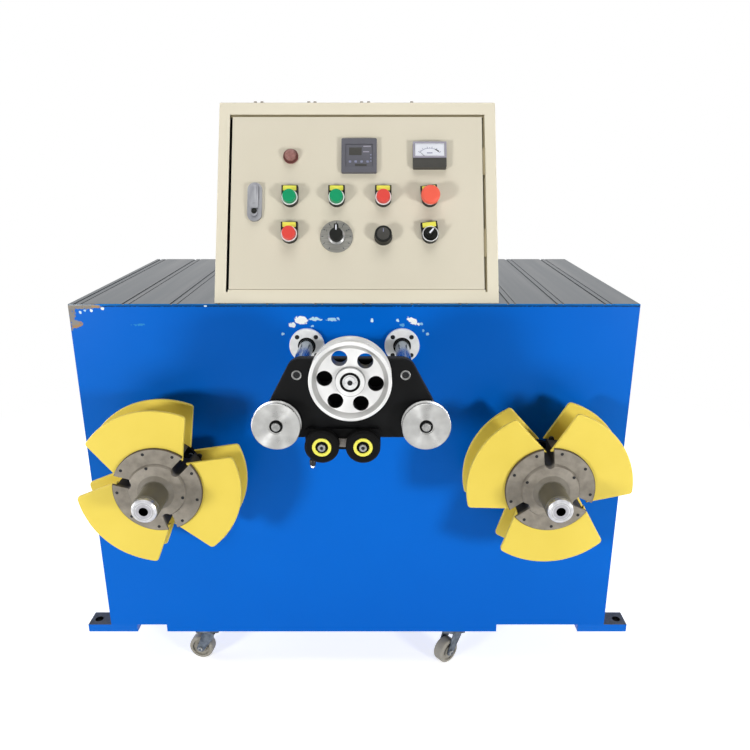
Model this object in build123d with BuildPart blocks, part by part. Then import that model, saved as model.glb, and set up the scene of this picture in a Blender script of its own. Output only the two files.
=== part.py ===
from build123d import *
import os
from math import atan2, cos, hypot, radians, sin

# Wire coiling machine: a sheet-steel cabinet on castors with two slotted winding heads,
# a sliding wire guide between them and a sloped control console on top.
# The front looks along -Y, +X is to the right of the front, the floor is at z = 0.

# Fits shared by all pieces
run_gap = 0.3
overrun = 6

# Cabinet panels
cab_width = 1200
cab_height = 795
cab_depth = 630
front_thick = 10
sheet = 3

# Grooves between the planks of the top covering
plank_pitch_share = 0.0842
plank_middle_share = -0.0254
plank_count = 12
seam_width = 5
seam_depth = 1.5
bead_width = 3
bead_depth = 1
bead_step = 14

# Foot plates at the four corners
foot_reach = 56
foot_length = 119
foot_width = 48
foot_hole_radius = 9
foot_hole_end = 19
foot_hole_side = 22

# Castor rails under the floor pan
rail_thick = 20
rail_width = 60
rail_left_share = 0.3875
rail_right_share = 0.2825

# Castors
castor_height = 92
castor_left_end = 97
castor_right_end = 104
castor_inset = 28
castor_trail = 22
tyre_radius = 30
tyre_width = 26
tyre_round = 4
tyre_hub_radius = 13
tyre_dish = 4
tyre_rim = 8
wheel_axle_radius = 4
wheel_axle_head = 3
fork_room = 2
fork_leg = 3
fork_end_radius = 9
fork_top_radius = 15
crown_radius = 20
crown_thick = 8
race_radius = 18
race_thick = 2
castor_plate_size = 56
castor_plate_thick = 4
kingpin_radius = 5
kingpin_drop = 2
left_front_turn = 172
right_front_turn = 220
left_back_turn = 196
right_back_turn = 205

# Control console
box_width = 600
box_offset = 5
box_setback = 8
box_lean = 182
box_rise = 405
box_depth = 302
box_wall = 2
box_border = 24
box_brow = 27
box_fold = 3
door_gap = 6
door_sheet = 2
door_return = 16
hinge_room = 3
hinge_length = 60
hinge_inset = 70

# Controls on the console door, placed from the middle of the door's foot line
column_first_share = -0.2641
column_pitch_share = 0.1841
row_low = 155
row_mid = 235
row_high = 321
lamp_radius = 16
lamp_bezel = 4
lamp_lens_radius = 12.5
lamp_lens_height = 11
lamp_lens_round = 5
counter_size = 76
counter_bezel = 9
counter_body = 66
counter_body_depth = 48
counter_share = 0.0083
screen_width = 58
screen_height = 50
screen_sink = 2.5
meter_width = 72
meter_height = 58
meter_bezel = 12
meter_window_width = 64
meter_window_height = 31
meter_window_rise = 11.5
meter_sink = 2
meter_body_radius = 26
meter_body_depth = 34
bezel_round = 3
body_room = 0.5
holder_width = 35
holder_rise = 26.5
holder_drop = 9
holder_thick = 14
holder_floor = 2
holder_corner = 4
holder_turn = 7
cap_radius = 14
cap_lift = 5
cap_length = 20
cap_round = 1.5
estop_stem_radius = 10
estop_stem = 17
estop_radius = 20
estop_head = 13
estop_round = 6
selector_radius = 12
selector_length = 19
selector_bar_width = 8
selector_bar_length = 25
selector_bar_height = 9
selector_turn = -40
dial_radius = 35
dial_thick = 2.5
dial_bevel = 1
dial_drop = 11
pointer_radius = 14
pointer_height = 20
pointer_nose = 22
pointer_nose_width = 9
pointer_round = 2
speed_radius = 19.5
speed_height = 22
speed_taper = 4
speed_round = 2
block_width = 28
block_height = 40
block_depth = 38
block_stem_radius = 11
lock_width = 31
lock_height = 85
lock_thick = 6
lock_inset = 52
lock_s = 219
lock_paddle_width = 17
lock_paddle_height = 52
lock_paddle_thick = 7
lock_paddle_rise = 10
lock_key_radius = 7
lock_key_height = 5
quarter_turn = 90

# Wire guide carriage
rod_x = 101
rod_rise = 706
rod_radius = 15
rod_inside = 150
bush_flange_radius = 37
bush_flange = 10
bush_bevel = 1.5
bush_sleeve_radius = 22.5
bush_length = 64
bush_recess_radius = 19
bush_recess = 3
plate_stand = 190
plate_thick = 17
plate_bevel = 1.5
plate_shoulder_x = 92
plate_shoulder_rise = 707
plate_shoulder_radius = 30
plate_foot_radius = 32
wheel_gap = 7
wheel_rise = 707
wheel_width = 42
wheel_radius = 75
wheel_tread = 69
wheel_flange = 6
wheel_bevel = 1.5
wheel_rim_inner = 62
wheel_slope = 6.5
wheel_dish = 8
wheel_hub_radius = 27
wheel_hole_radius = 14.5
wheel_hole_circle = 46.5
wheel_hole_turn = -6
wheel_axle = 11
axle_proud = 2
pulley_gap = 6
pulley_x = 140
pulley_rise = 612
pulley_radius = 46
pulley_width = 20
pulley_flange = 3.5
pulley_bevel = 1.2
pulley_groove = 12
pulley_root = 5
pulley_dish_radius = 15
pulley_dish = 2
pulley_axle = 8
bracket_left = 88
bracket_right = 55
bracket_rise = 559
bracket_height = 42
bracket_thick = 8
bracket_round = 8
roller_gap = 5
roller_left_x = -55
roller_right_x = 22
roller_rise = 574
roller_radius = 32.5
roller_width = 22
roller_crown = 4
roller_core = 19
roller_sink = 3
roller_axle = 6
roller_axle_proud = 1

# Winding heads
head_x = 405
head_rise = 434
housing_radius = 54
housing_flange = 14
housing_nose_radius = 40
housing_nose = 16
sleeve_radius = 35
sleeve_length = 60
spindle_radius = 20
spindle_inside = 120
nose_radius = 25
nose_length = 12
nose_bevel = 3
nose_hole_radius = 9
nose_hole_depth = 14
drum_stand = 58
drum_length = 77
drum_radius = 84
rim_radius = 93
rim_thick = 6
rim_bevel = 1.5
step_radius = 60
step_height = 6
cone_radius = 38
cone_height = 4
boss_radius = 27.5
boss_root = 7
boss_length = 68
boss_bevel = 2
slot_width = 21
slot_reach = 41
pocket_circle = 58
pocket_width = 22
pocket_half_turn = 33
drum_face = 10
wing_radius = 172
wing_thick = 8
wing_round = 8
wing_edge = 2
wing_inner_turn = 57
wing_outer_turn = 39
rear_wing_back = 1
left_head_turn = 45.5
right_head_turn = 95.5
slot_count = 3

# Places worked out from the sizes above
front_reach = plate_stand + plate_thick + wheel_gap + wheel_width + axle_proud
face_y = -(cab_depth - front_reach) / 2
back_y = face_y + cab_depth
base_z = castor_height + rail_thick
top_z = base_z + cab_height
rail_z = castor_height
rod_z = base_z + rod_rise
wheel_z = base_z + wheel_rise
pulley_z = base_z + pulley_rise
roller_z = base_z + roller_rise
head_z = base_z + head_rise
plate_back = face_y - plate_stand
plate_front = plate_back - plate_thick
tilt = atan2(box_lean, box_rise)
slant = hypot(box_lean, box_rise)
panel_height = cab_height - sheet
side_depth = cab_depth - front_thick - sheet

os.makedirs("parts", exist_ok=True)

# Front plate, bored for the spindle sleeves and the rod bushings
with BuildPart() as front_plate:
    with BuildSketch(Plane.XZ.offset(-face_y)):
        with Locations((0, base_z + panel_height / 2)):
            Rectangle(cab_width, panel_height)
        with Locations((-head_x, head_z), (head_x, head_z)):
            Circle(sleeve_radius + run_gap, mode=Mode.SUBTRACT)
        with Locations((-rod_x, rod_z), (rod_x, rod_z)):
            Circle(bush_sleeve_radius + run_gap, mode=Mode.SUBTRACT)
    extrude(amount=-front_thick)
front_plate.part.label = "front_plate"
export_step(front_plate.part, "parts/front_plate.step")

# Side panels stand on the floor pan between the front plate and the back panel
for side, sign in (("left", -1), ("right", 1)):
    with BuildPart() as side_panel:
        with BuildSketch(Plane.XY.offset(base_z + sheet)):
            with Locations((sign * (cab_width - sheet) / 2, face_y + front_thick + side_depth / 2)):
                Rectangle(sheet, side_depth)
        extrude(amount=panel_height - sheet)
    side_panel.part.label = f"{side}_side_panel"
    export_step(side_panel.part, f"parts/{side}_side_panel.step")

with BuildPart() as back_panel:
    with BuildSketch(Plane.XY.offset(base_z)):
        with Locations((0, back_y - sheet / 2)):
            Rectangle(cab_width, sheet)
    extrude(amount=panel_height)
back_panel.part.label = "back_panel"
export_step(back_panel.part, "parts/back_panel.step")

with BuildPart() as floor_pan:
    with BuildSketch(Plane.XY.offset(base_z)):
        with Locations((0, face_y + front_thick + side_depth / 2)):
            Rectangle(cab_width, side_depth)
    extrude(amount=sheet)
floor_pan.part.label = "floor_pan"
export_step(floor_pan.part, "parts/floor_pan.step")

# Top covering with pairs of grooves running front to back between its planks
plank_pitch = cab_width * plank_pitch_share
plank_middle = cab_width * plank_middle_share
with BuildPart() as top_plate:
    with BuildSketch(Plane.XY.offset(top_z - sheet)):
        with Locations((0, face_y + cab_depth / 2)):
            Rectangle(cab_width, cab_depth)
    extrude(amount=sheet)
    top_rim = top_plate.faces().sort_by(Axis.Z)[-1].edges()
    fillet(top_rim, radius=sheet / 2)
    with BuildSketch(Plane.XY.offset(top_z)):
        with Locations((plank_middle, face_y + cab_depth / 2)):
            with GridLocations(plank_pitch, cab_depth, plank_count, 1):
                Rectangle(seam_width, cab_depth + overrun)
    extrude(amount=-seam_depth, mode=Mode.SUBTRACT)
    with BuildSketch(Plane.XY.offset(top_z)):
        with Locations((plank_middle + bead_step, face_y + cab_depth / 2)):
            with GridLocations(plank_pitch, cab_depth, plank_count, 1):
                Rectangle(bead_width, cab_depth + overrun)
    extrude(amount=-bead_depth, mode=Mode.SUBTRACT)
top_plate.part.label = "top_plate"
export_step(top_plate.part, "parts/top_plate.step")

# Foot plates: flat bars that run out past the cabinet sides, each with one bolt hole
foot_x = cab_width / 2 + foot_reach - foot_length / 2
foot_hole_x = cab_width / 2 + foot_reach - foot_hole_end
with BuildPart() as foot_plates:
    with BuildSketch(Plane.XY.offset(base_z - rail_thick)):
        with Locations((-foot_x, face_y + foot_width / 2), (foot_x, face_y + foot_width / 2)):
            Rectangle(foot_length, foot_width)
        with Locations((-foot_x, back_y - foot_width / 2), (foot_x, back_y - foot_width / 2)):
            Rectangle(foot_length, foot_width)
        with Locations((-foot_hole_x, face_y + foot_hole_side), (foot_hole_x, face_y + foot_hole_side)):
            Circle(foot_hole_radius, mode=Mode.SUBTRACT)
        with Locations((-foot_hole_x, back_y - foot_hole_side), (foot_hole_x, back_y - foot_hole_side)):
            Circle(foot_hole_radius, mode=Mode.SUBTRACT)
    extrude(amount=rail_thick)
foot_plates.part.label = "foot_plates"
export_step(foot_plates.part, "parts/foot_plates.step")

rail_left = cab_width * rail_left_share
rail_right = cab_width * rail_right_share
rail_length = rail_left + rail_right
rail_x = (rail_right - rail_left) / 2
with BuildPart() as castor_rails:
    with BuildSketch(Plane.XY.offset(rail_z)):
        with Locations((rail_x, face_y + rail_width / 2), (rail_x, back_y - rail_width / 2)):
            Rectangle(rail_length, rail_width)
    extrude(amount=rail_thick)
castor_rails.part.label = "castor_rails"
export_step(castor_rails.part, "parts/castor_rails.step")

# Castors: a fixed plate with a kingpin, a swivelling fork and a dished wheel
castor_left = rail_left - castor_left_end
castor_right = rail_right - castor_right_end
castor_front_y = face_y + castor_inset
castor_back_y = back_y - castor_inset
race_z = rail_z - castor_plate_thick - race_thick
crown_top = race_z - run_gap
crown_z = crown_top - crown_thick
castor_spots = (
    ("left_front", -castor_left, castor_front_y, left_front_turn),
    ("right_front", castor_right, castor_front_y, right_front_turn),
    ("left_back", -castor_left, castor_back_y, left_back_turn),
    ("right_back", castor_right, castor_back_y, right_back_turn),
)
with BuildPart() as castor_plates:
    with BuildSketch(Plane.XY.offset(rail_z)):
        with Locations(*[(x, y) for name, x, y, turn in castor_spots]):
            Rectangle(castor_plate_size, castor_plate_size)
    extrude(amount=-castor_plate_thick)
    with BuildSketch(Plane.XY.offset(rail_z - castor_plate_thick)):
        with Locations(*[(x, y) for name, x, y, turn in castor_spots]):
            Circle(race_radius)
    extrude(amount=-race_thick)
    with BuildSketch(Plane.XY.offset(race_z)):
        with Locations(*[(x, y) for name, x, y, turn in castor_spots]):
            Circle(kingpin_radius)
    extrude(amount=-(run_gap + crown_thick + kingpin_drop))
castor_plates.part.label = "castor_plates"
export_step(castor_plates.part, "parts/castor_plates.step")

leg_inner = tyre_width / 2 + fork_room
leg_outer = leg_inner + fork_leg
for name, x, y, turn in castor_spots:
    along = (cos(radians(turn)), sin(radians(turn)), 0)
    across = (sin(radians(turn)), -cos(radians(turn)), 0)
    fork_plane = Plane(origin=(x, y, 0), x_dir=along, z_dir=across)
    with BuildPart() as fork:
        for leg_side in (leg_inner, -leg_outer):
            with BuildSketch(fork_plane.offset(leg_side)):
                with Locations((castor_trail, tyre_radius)):
                    Circle(fork_end_radius)
                with Locations((0, crown_top - fork_top_radius)):
                    Circle(fork_top_radius)
                make_hull()
            extrude(amount=fork_leg)
        with BuildSketch(Plane.XY.offset(crown_z)):
            with Locations((x, y)):
                Circle(crown_radius)
        extrude(amount=crown_thick)
        with BuildSketch(fork_plane):
            with Locations((castor_trail, tyre_radius)):
                Circle(wheel_axle_radius)
        extrude(amount=leg_outer + wheel_axle_head, both=True)
        with BuildSketch(Plane.XY.offset(crown_z - overrun)):
            with Locations((x, y)):
                Circle(kingpin_radius + run_gap)
        extrude(amount=crown_thick + 2 * overrun, mode=Mode.SUBTRACT)
    fork.part.label = f"{name}_castor_fork"
    export_step(fork.part, f"parts/{name}_castor_fork.step")

    with BuildPart() as tyre:
        with BuildSketch(fork_plane):
            with Locations((castor_trail, tyre_radius)):
                Circle(tyre_radius)
        extrude(amount=tyre_width / 2, both=True)
        fillet(tyre.edges().filter_by(GeomType.CIRCLE), radius=tyre_round)
        for dish_side, inward in ((tyre_width / 2, -tyre_dish), (-tyre_width / 2, tyre_dish)):
            with BuildSketch(fork_plane.offset(dish_side)):
                with Locations((castor_trail, tyre_radius)):
                    Circle(tyre_radius - tyre_rim)
                    Circle(tyre_hub_radius, mode=Mode.SUBTRACT)
            extrude(amount=inward, mode=Mode.SUBTRACT)
        with BuildSketch(fork_plane):
            with Locations((castor_trail, tyre_radius)):
                Circle(wheel_axle_radius + run_gap)
        extrude(amount=tyre_width / 2 + overrun, both=True, mode=Mode.SUBTRACT)
    tyre.part.label = f"{name}_castor_wheel"
    export_step(tyre.part, f"parts/{name}_castor_wheel.step")

# Console: a wedge-shaped sheet box with a sloped face and an opening for the door
box_left = box_offset - box_width / 2
foot_y = face_y + box_setback
box_profile = (
    (foot_y, top_z),
    (foot_y + box_lean, top_z + box_rise),
    (foot_y + box_depth, top_z + box_rise),
    (foot_y + box_depth, top_z),
)
face_plane = Plane(
    origin=(box_offset, foot_y, top_z), x_dir=(1, 0, 0), z_dir=(0, -cos(tilt), sin(tilt))
)
open_width = box_width - 2 * box_border
open_height = slant - box_border - box_brow
door_width = open_width - 2 * door_gap
door_height = open_height - 2 * door_gap
door_mid = (slant + box_border - box_brow) / 2
hinge_x = door_width / 2 + hinge_room
hinge_feet = (door_mid - door_height / 2 + hinge_inset, door_mid + door_height / 2 - hinge_inset - hinge_length)
with BuildPart() as console_box:
    with BuildSketch(Plane.YZ.offset(box_left)):
        Polygon(*box_profile, align=None)
    extrude(amount=box_width)
    fold_edges = [edge for edge in console_box.edges() if edge.center().Z > top_z + box_fold]
    fillet(fold_edges, radius=box_fold)
    with BuildSketch(Plane.YZ.offset(box_left + box_wall)):
        Polygon(*box_profile, align=None)
        offset(amount=-box_wall, mode=Mode.REPLACE)
    extrude(amount=box_width - 2 * box_wall, mode=Mode.SUBTRACT)
    with BuildSketch(face_plane.offset(overrun)):
        with Locations((0, door_mid)):
            Rectangle(open_width, open_height)
    extrude(amount=-(2 * overrun), mode=Mode.SUBTRACT)
console_box.part.label = "console_box"
export_step(console_box.part, "parts/console_box.step")

# Hinge barrels on the right edge of the opening, each with a tab welded to the box wall
with BuildPart() as door_hinges:
    for hinge_foot in hinge_feet:
        hinge_plane = Plane(
            origin=face_plane.from_local_coords((hinge_x, hinge_foot, 0)),
            x_dir=(1, 0, 0),
            z_dir=(0, sin(tilt), cos(tilt)),
        )
        with BuildSketch(hinge_plane):
            Circle(hinge_room - run_gap)
            with Locations((hinge_room / 2, box_wall / 2)):
                Rectangle(hinge_room, box_wall)
        extrude(amount=hinge_length)
door_hinges.part.label = "door_hinges"
export_step(door_hinges.part, "parts/door_hinges.step")

# Controls: four columns, three rows
column_first = door_width * column_first_share
column_pitch = door_width * column_pitch_share
counter_x = door_width * counter_share
lock_x = lock_inset - door_width / 2
columns = [column_first + column_pitch * i for i in range(4)]
push_spots = (
    ("left_start_button", columns[0], row_mid),
    ("right_start_button", columns[1], row_mid),
    ("stop_button", columns[2], row_mid),
    ("jog_button", columns[0], row_low),
)
estop_spot = (columns[3], row_mid)
selector_spot = (columns[3], row_low)
dial_spot = (columns[1], row_low - dial_drop)
speed_spot = (columns[2], row_low - dial_drop)
lamp_spot = (columns[0], row_high)
counter_spot = (counter_x, row_high)
meter_spot = (columns[3], row_high)
holder_spots = [(x, s - holder_drop, 0) for name, x, s in push_spots]
holder_spots += [(x, s - holder_drop, holder_turn) for x, s in (estop_spot, selector_spot)]
stem_spots = [(x, s) for x, s, turn in holder_spots] + [dial_spot, speed_spot, lamp_spot]

# Door: a folded tray with holes for the controls, hung on two pins at its right edge
with BuildPart() as console_door:
    with BuildSketch(face_plane):
        with Locations((0, door_mid)):
            Rectangle(door_width, door_height)
    extrude(amount=-door_return)
    with BuildSketch(face_plane.offset(-door_sheet)):
        with Locations((0, door_mid)):
            Rectangle(door_width - 2 * door_sheet, door_height - 2 * door_sheet)
    extrude(amount=-door_return, mode=Mode.SUBTRACT)
    with BuildSketch(face_plane.offset(overrun)):
        with Locations(*stem_spots):
            Circle(block_stem_radius + run_gap)
        with Locations(counter_spot):
            Rectangle(counter_body + 2 * body_room, counter_body + 2 * body_room)
        with Locations(meter_spot):
            Circle(meter_body_radius + body_room)
    extrude(amount=-(2 * overrun), mode=Mode.SUBTRACT)
console_door.part.label = "console_door"
export_step(console_door.part, "parts/console_door.step")

with BuildPart() as pilot_lamp:
    with BuildSketch(face_plane):
        with Locations(lamp_spot):
            Circle(lamp_radius)
    extrude(amount=lamp_bezel)
    with BuildSketch(face_plane.offset(lamp_bezel)):
        with Locations(lamp_spot):
            Circle(lamp_lens_radius)
    extrude(amount=lamp_lens_height)
    lens_top = pilot_lamp.faces().sort_by(Axis(face_plane.origin, face_plane.z_dir))[-1].edges()
    fillet(lens_top, radius=lamp_lens_round)
    with BuildSketch(face_plane):
        with Locations(lamp_spot):
            Circle(block_stem_radius)
    extrude(amount=-block_depth)
pilot_lamp.part.label = "pilot_lamp"
export_step(pilot_lamp.part, "parts/pilot_lamp.step")

with BuildPart() as counter:
    with BuildSketch(face_plane):
        with Locations(counter_spot):
            RectangleRounded(counter_size, counter_size, bezel_round)
    extrude(amount=counter_bezel)
    with BuildSketch(face_plane.offset(counter_bezel)):
        with Locations(counter_spot):
            Rectangle(screen_width, screen_height)
    extrude(amount=-screen_sink, mode=Mode.SUBTRACT)
    with BuildSketch(face_plane):
        with Locations(counter_spot):
            Rectangle(counter_body, counter_body)
    extrude(amount=-counter_body_depth)
counter.part.label = "counter"
export_step(counter.part, "parts/counter.step")

with BuildPart() as panel_meter:
    with BuildSketch(face_plane):
        with Locations(meter_spot):
            RectangleRounded(meter_width, meter_height, bezel_round)
    extrude(amount=meter_bezel)
    with BuildSketch(face_plane.offset(meter_bezel)):
        with Locations((columns[3], row_high + meter_window_rise)):
            Rectangle(meter_window_width, meter_window_height)
    extrude(amount=-meter_sink, mode=Mode.SUBTRACT)
    with BuildSketch(face_plane):
        with Locations(meter_spot):
            Circle(meter_body_radius)
    extrude(amount=-meter_body_depth)
panel_meter.part.label = "panel_meter"
export_step(panel_meter.part, "parts/panel_meter.step")

# Switch holders: shield-shaped label frames, round at the foot, with a bore for each control
bore_depth = holder_thick - holder_floor
with BuildPart() as switch_holders:
    with BuildSketch(face_plane):
        with Locations(*[Location((x, s, 0), turn) for x, s, turn in holder_spots]):
            Circle(holder_width / 2)
            with Locations((0, holder_rise / 2)):
                Rectangle(holder_width, holder_rise)
    extrude(amount=holder_thick)
    with BuildSketch(face_plane.offset(holder_floor)):
        with Locations(*[(x, s - holder_drop) for name, x, s in push_spots]):
            Circle(cap_radius + run_gap)
        with Locations((estop_spot[0], estop_spot[1] - holder_drop)):
            Circle(estop_stem_radius + run_gap)
        with Locations((selector_spot[0], selector_spot[1] - holder_drop)):
            Circle(selector_radius + run_gap)
    extrude(amount=holder_thick, mode=Mode.SUBTRACT)
switch_holders.part.label = "switch_holders"
export_step(switch_holders.part, "parts/switch_holders.step")

# Contact blocks behind the door, each with a threaded neck through it
with BuildPart() as contact_blocks:
    with BuildSketch(face_plane):
        with Locations(*[(x, s) for x, s, turn in holder_spots]):
            Circle(block_stem_radius)
    extrude(amount=-door_return)
    with BuildSketch(face_plane.offset(-door_sheet)):
        with Locations(*[(x, s) for x, s, turn in holder_spots]):
            RectangleRounded(block_width, block_height, holder_corner)
        with Locations(dial_spot, speed_spot):
            RectangleRounded(block_width, block_height, holder_corner)
    extrude(amount=-block_depth)
contact_blocks.part.label = "contact_blocks"
export_step(contact_blocks.part, "parts/contact_blocks.step")

# Push button caps
for name, x, s in push_spots:
    with BuildPart() as cap:
        with BuildSketch(face_plane.offset(holder_floor + cap_lift)):
            with Locations((x, s - holder_drop)):
                Circle(cap_radius)
        extrude(amount=cap_length)
        cap_top = cap.faces().sort_by(Axis(face_plane.origin, face_plane.z_dir))[-1].edges()
        fillet(cap_top, radius=cap_round)
    cap.part.label = name
    export_step(cap.part, f"parts/{name}.step")

# Emergency stop mushroom
estop_plane = face_plane.offset(holder_floor + cap_lift + estop_stem)
with BuildPart() as stop_mushroom:
    with BuildSketch(face_plane.offset(holder_floor + cap_lift)):
        with Locations((estop_spot[0], estop_spot[1] - holder_drop)):
            Circle(estop_stem_radius)
    extrude(amount=estop_stem)
    with BuildSketch(estop_plane):
        with Locations((estop_spot[0], estop_spot[1] - holder_drop)):
            Circle(estop_radius)
    extrude(amount=estop_head)
    head_top = stop_mushroom.faces().sort_by(Axis(face_plane.origin, face_plane.z_dir))[-1].edges()
    fillet(head_top, radius=estop_round)
stop_mushroom.part.label = "stop_mushroom"
export_step(stop_mushroom.part, "parts/stop_mushroom.step")

# Selector with a grip bar across its face
with BuildPart() as selector:
    with BuildSketch(face_plane.offset(holder_floor + run_gap)):
        with Locations((selector_spot[0], selector_spot[1] - holder_drop)):
            Circle(selector_radius)
    extrude(amount=selector_length)
    with BuildSketch(face_plane.offset(holder_floor + run_gap + selector_length)):
        with Locations(Location((selector_spot[0], selector_spot[1] - holder_drop, 0), selector_turn)):
            RectangleRounded(selector_bar_width, selector_bar_length - selector_bar_width, pointer_round)
    extrude(amount=selector_bar_height)
selector.part.label = "selector"
export_step(selector.part, "parts/selector.step")

# Rotary switch: a round scale plate and a pointer knob
with BuildPart() as dial_plate:
    with BuildSketch(face_plane):
        with Locations(dial_spot):
            Circle(dial_radius)
    extrude(amount=dial_thick)
    dial_top = dial_plate.faces().sort_by(Axis(face_plane.origin, face_plane.z_dir))[-1].edges()
    chamfer(dial_top, length=dial_bevel)
dial_plate.part.label = "dial_plate"
export_step(dial_plate.part, "parts/dial_plate.step")

with BuildPart() as pointer_knob:
    with BuildSketch(face_plane.offset(dial_thick + run_gap)):
        with Locations(dial_spot):
            Circle(pointer_radius)
        with Locations((dial_spot[0], dial_spot[1] + pointer_nose / 2)):
            Rectangle(pointer_nose_width, pointer_nose)
    extrude(amount=pointer_height)
    knob_top = pointer_knob.faces().sort_by(Axis(face_plane.origin, face_plane.z_dir))[-1].edges()
    fillet(knob_top, radius=pointer_round)
pointer_knob.part.label = "pointer_knob"
export_step(pointer_knob.part, "parts/pointer_knob.step")

with BuildPart() as speed_knob:
    with BuildSketch(face_plane.offset(run_gap)):
        with Locations(speed_spot):
            Circle(speed_radius)
    extrude(amount=speed_height, taper=speed_taper)
    speed_top = speed_knob.faces().sort_by(Axis(face_plane.origin, face_plane.z_dir))[-1].edges()
    fillet(speed_top, radius=speed_round)
speed_knob.part.label = "speed_knob"
export_step(speed_knob.part, "parts/speed_knob.step")

# Door lock: an oblong plate with a push-in paddle above the key barrel
with BuildPart() as door_lock:
    with BuildSketch(face_plane):
        with Locations(Location((lock_x, lock_s, 0), quarter_turn)):
            SlotOverall(lock_height, lock_width)
    extrude(amount=lock_thick)
    with BuildSketch(face_plane.offset(lock_thick)):
        with Locations((lock_x, lock_s + lock_paddle_rise)):
            RectangleRounded(lock_paddle_width, lock_paddle_height, bezel_round)
    extrude(amount=lock_paddle_thick)
    with BuildSketch(face_plane.offset(lock_thick)):
        with Locations((lock_x, lock_s + lock_paddle_rise - lock_paddle_height / 2 - lock_key_radius - bezel_round)):
            Circle(lock_key_radius)
    extrude(amount=lock_key_height)
door_lock.part.label = "door_lock"
export_step(door_lock.part, "parts/door_lock.step")

# Flanged bushings that carry the guide rods through the front plate
with BuildPart() as rod_bushings:
    with BuildSketch(Plane.XZ.offset(-face_y)):
        with Locations((-rod_x, rod_z), (rod_x, rod_z)):
            Circle(bush_flange_radius)
    extrude(amount=bush_flange)
    flange_rims = rod_bushings.faces().sort_by(Axis.Y)[:2].edges()
    chamfer(flange_rims, length=bush_bevel)
    with BuildSketch(Plane.XZ.offset(-face_y)):
        with Locations((-rod_x, rod_z), (rod_x, rod_z)):
            Circle(bush_sleeve_radius)
    extrude(amount=-(bush_length - bush_flange))
    with BuildSketch(Plane.XZ.offset(-face_y + bush_flange)):
        with Locations((-rod_x, rod_z), (rod_x, rod_z)):
            Circle(bush_recess_radius)
    extrude(amount=-bush_recess, mode=Mode.SUBTRACT)
    with BuildSketch(Plane.XZ.offset(-face_y + bush_flange + overrun)):
        with Locations((-rod_x, rod_z), (rod_x, rod_z)):
            Circle(rod_radius + run_gap)
    extrude(amount=-(bush_length + 2 * overrun), mode=Mode.SUBTRACT)
rod_bushings.part.label = "rod_bushings"
export_step(rod_bushings.part, "parts/rod_bushings.step")

# Guide carriage: two rods, the shaped plate on their ends and the pulleys on its face
with BuildPart() as guide_rods:
    with BuildSketch(Plane.XZ.offset(-plate_back)):
        with Locations((-rod_x, rod_z), (rod_x, rod_z)):
            Circle(rod_radius)
    extrude(amount=-(plate_stand + rod_inside))
guide_rods.part.label = "guide_rods"
export_step(guide_rods.part, "parts/guide_rods.step")

with BuildPart() as guide_plate:
    with BuildSketch(Plane.XZ.offset(-plate_back)):
        with Locations((-plate_shoulder_x, base_z + plate_shoulder_rise), (plate_shoulder_x, base_z + plate_shoulder_rise)):
            Circle(plate_shoulder_radius)
        with Locations((-pulley_x, pulley_z), (pulley_x, pulley_z)):
            Circle(plate_foot_radius)
        make_hull()
    extrude(amount=plate_thick)
    plate_rim = guide_plate.faces().sort_by(Axis.Y)[0].edges()
    chamfer(plate_rim, length=plate_bevel)
guide_plate.part.label = "guide_plate"
export_step(guide_plate.part, "parts/guide_plate.step")

wheel_back = plate_front - wheel_gap
wheel_front = wheel_back - wheel_width
pulley_back = plate_front - pulley_gap
pulley_front = pulley_back - pulley_width
bracket_front = plate_front - bracket_thick
roller_back = bracket_front - roller_gap
roller_front = roller_back - roller_width
with BuildPart() as roller_bracket:
    with BuildSketch(Plane.XZ.offset(-plate_front)):
        with Locations(((bracket_right - bracket_left) / 2, base_z + bracket_rise + bracket_height / 2)):
            RectangleRounded(bracket_left + bracket_right, bracket_height, bracket_round)
    extrude(amount=bracket_thick)
roller_bracket.part.label = "roller_bracket"
export_step(roller_bracket.part, "parts/roller_bracket.step")

with BuildPart() as guide_axles:
    with BuildSketch(Plane.XZ.offset(-plate_front)):
        with Locations((0, wheel_z)):
            Circle(wheel_axle)
    extrude(amount=wheel_gap + wheel_width + axle_proud)
    with BuildSketch(Plane.XZ.offset(-plate_front)):
        with Locations((-pulley_x, pulley_z), (pulley_x, pulley_z)):
            Circle(pulley_axle)
    extrude(amount=pulley_gap + pulley_width + axle_proud)
    with BuildSketch(Plane.XZ.offset(-bracket_front)):
        with Locations((roller_left_x, roller_z), (roller_right_x, roller_z)):
            Circle(roller_axle)
    extrude(amount=roller_gap + roller_width + roller_axle_proud)
guide_axles.part.label = "guide_axles"
export_step(guide_axles.part, "parts/guide_axles.step")

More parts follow.
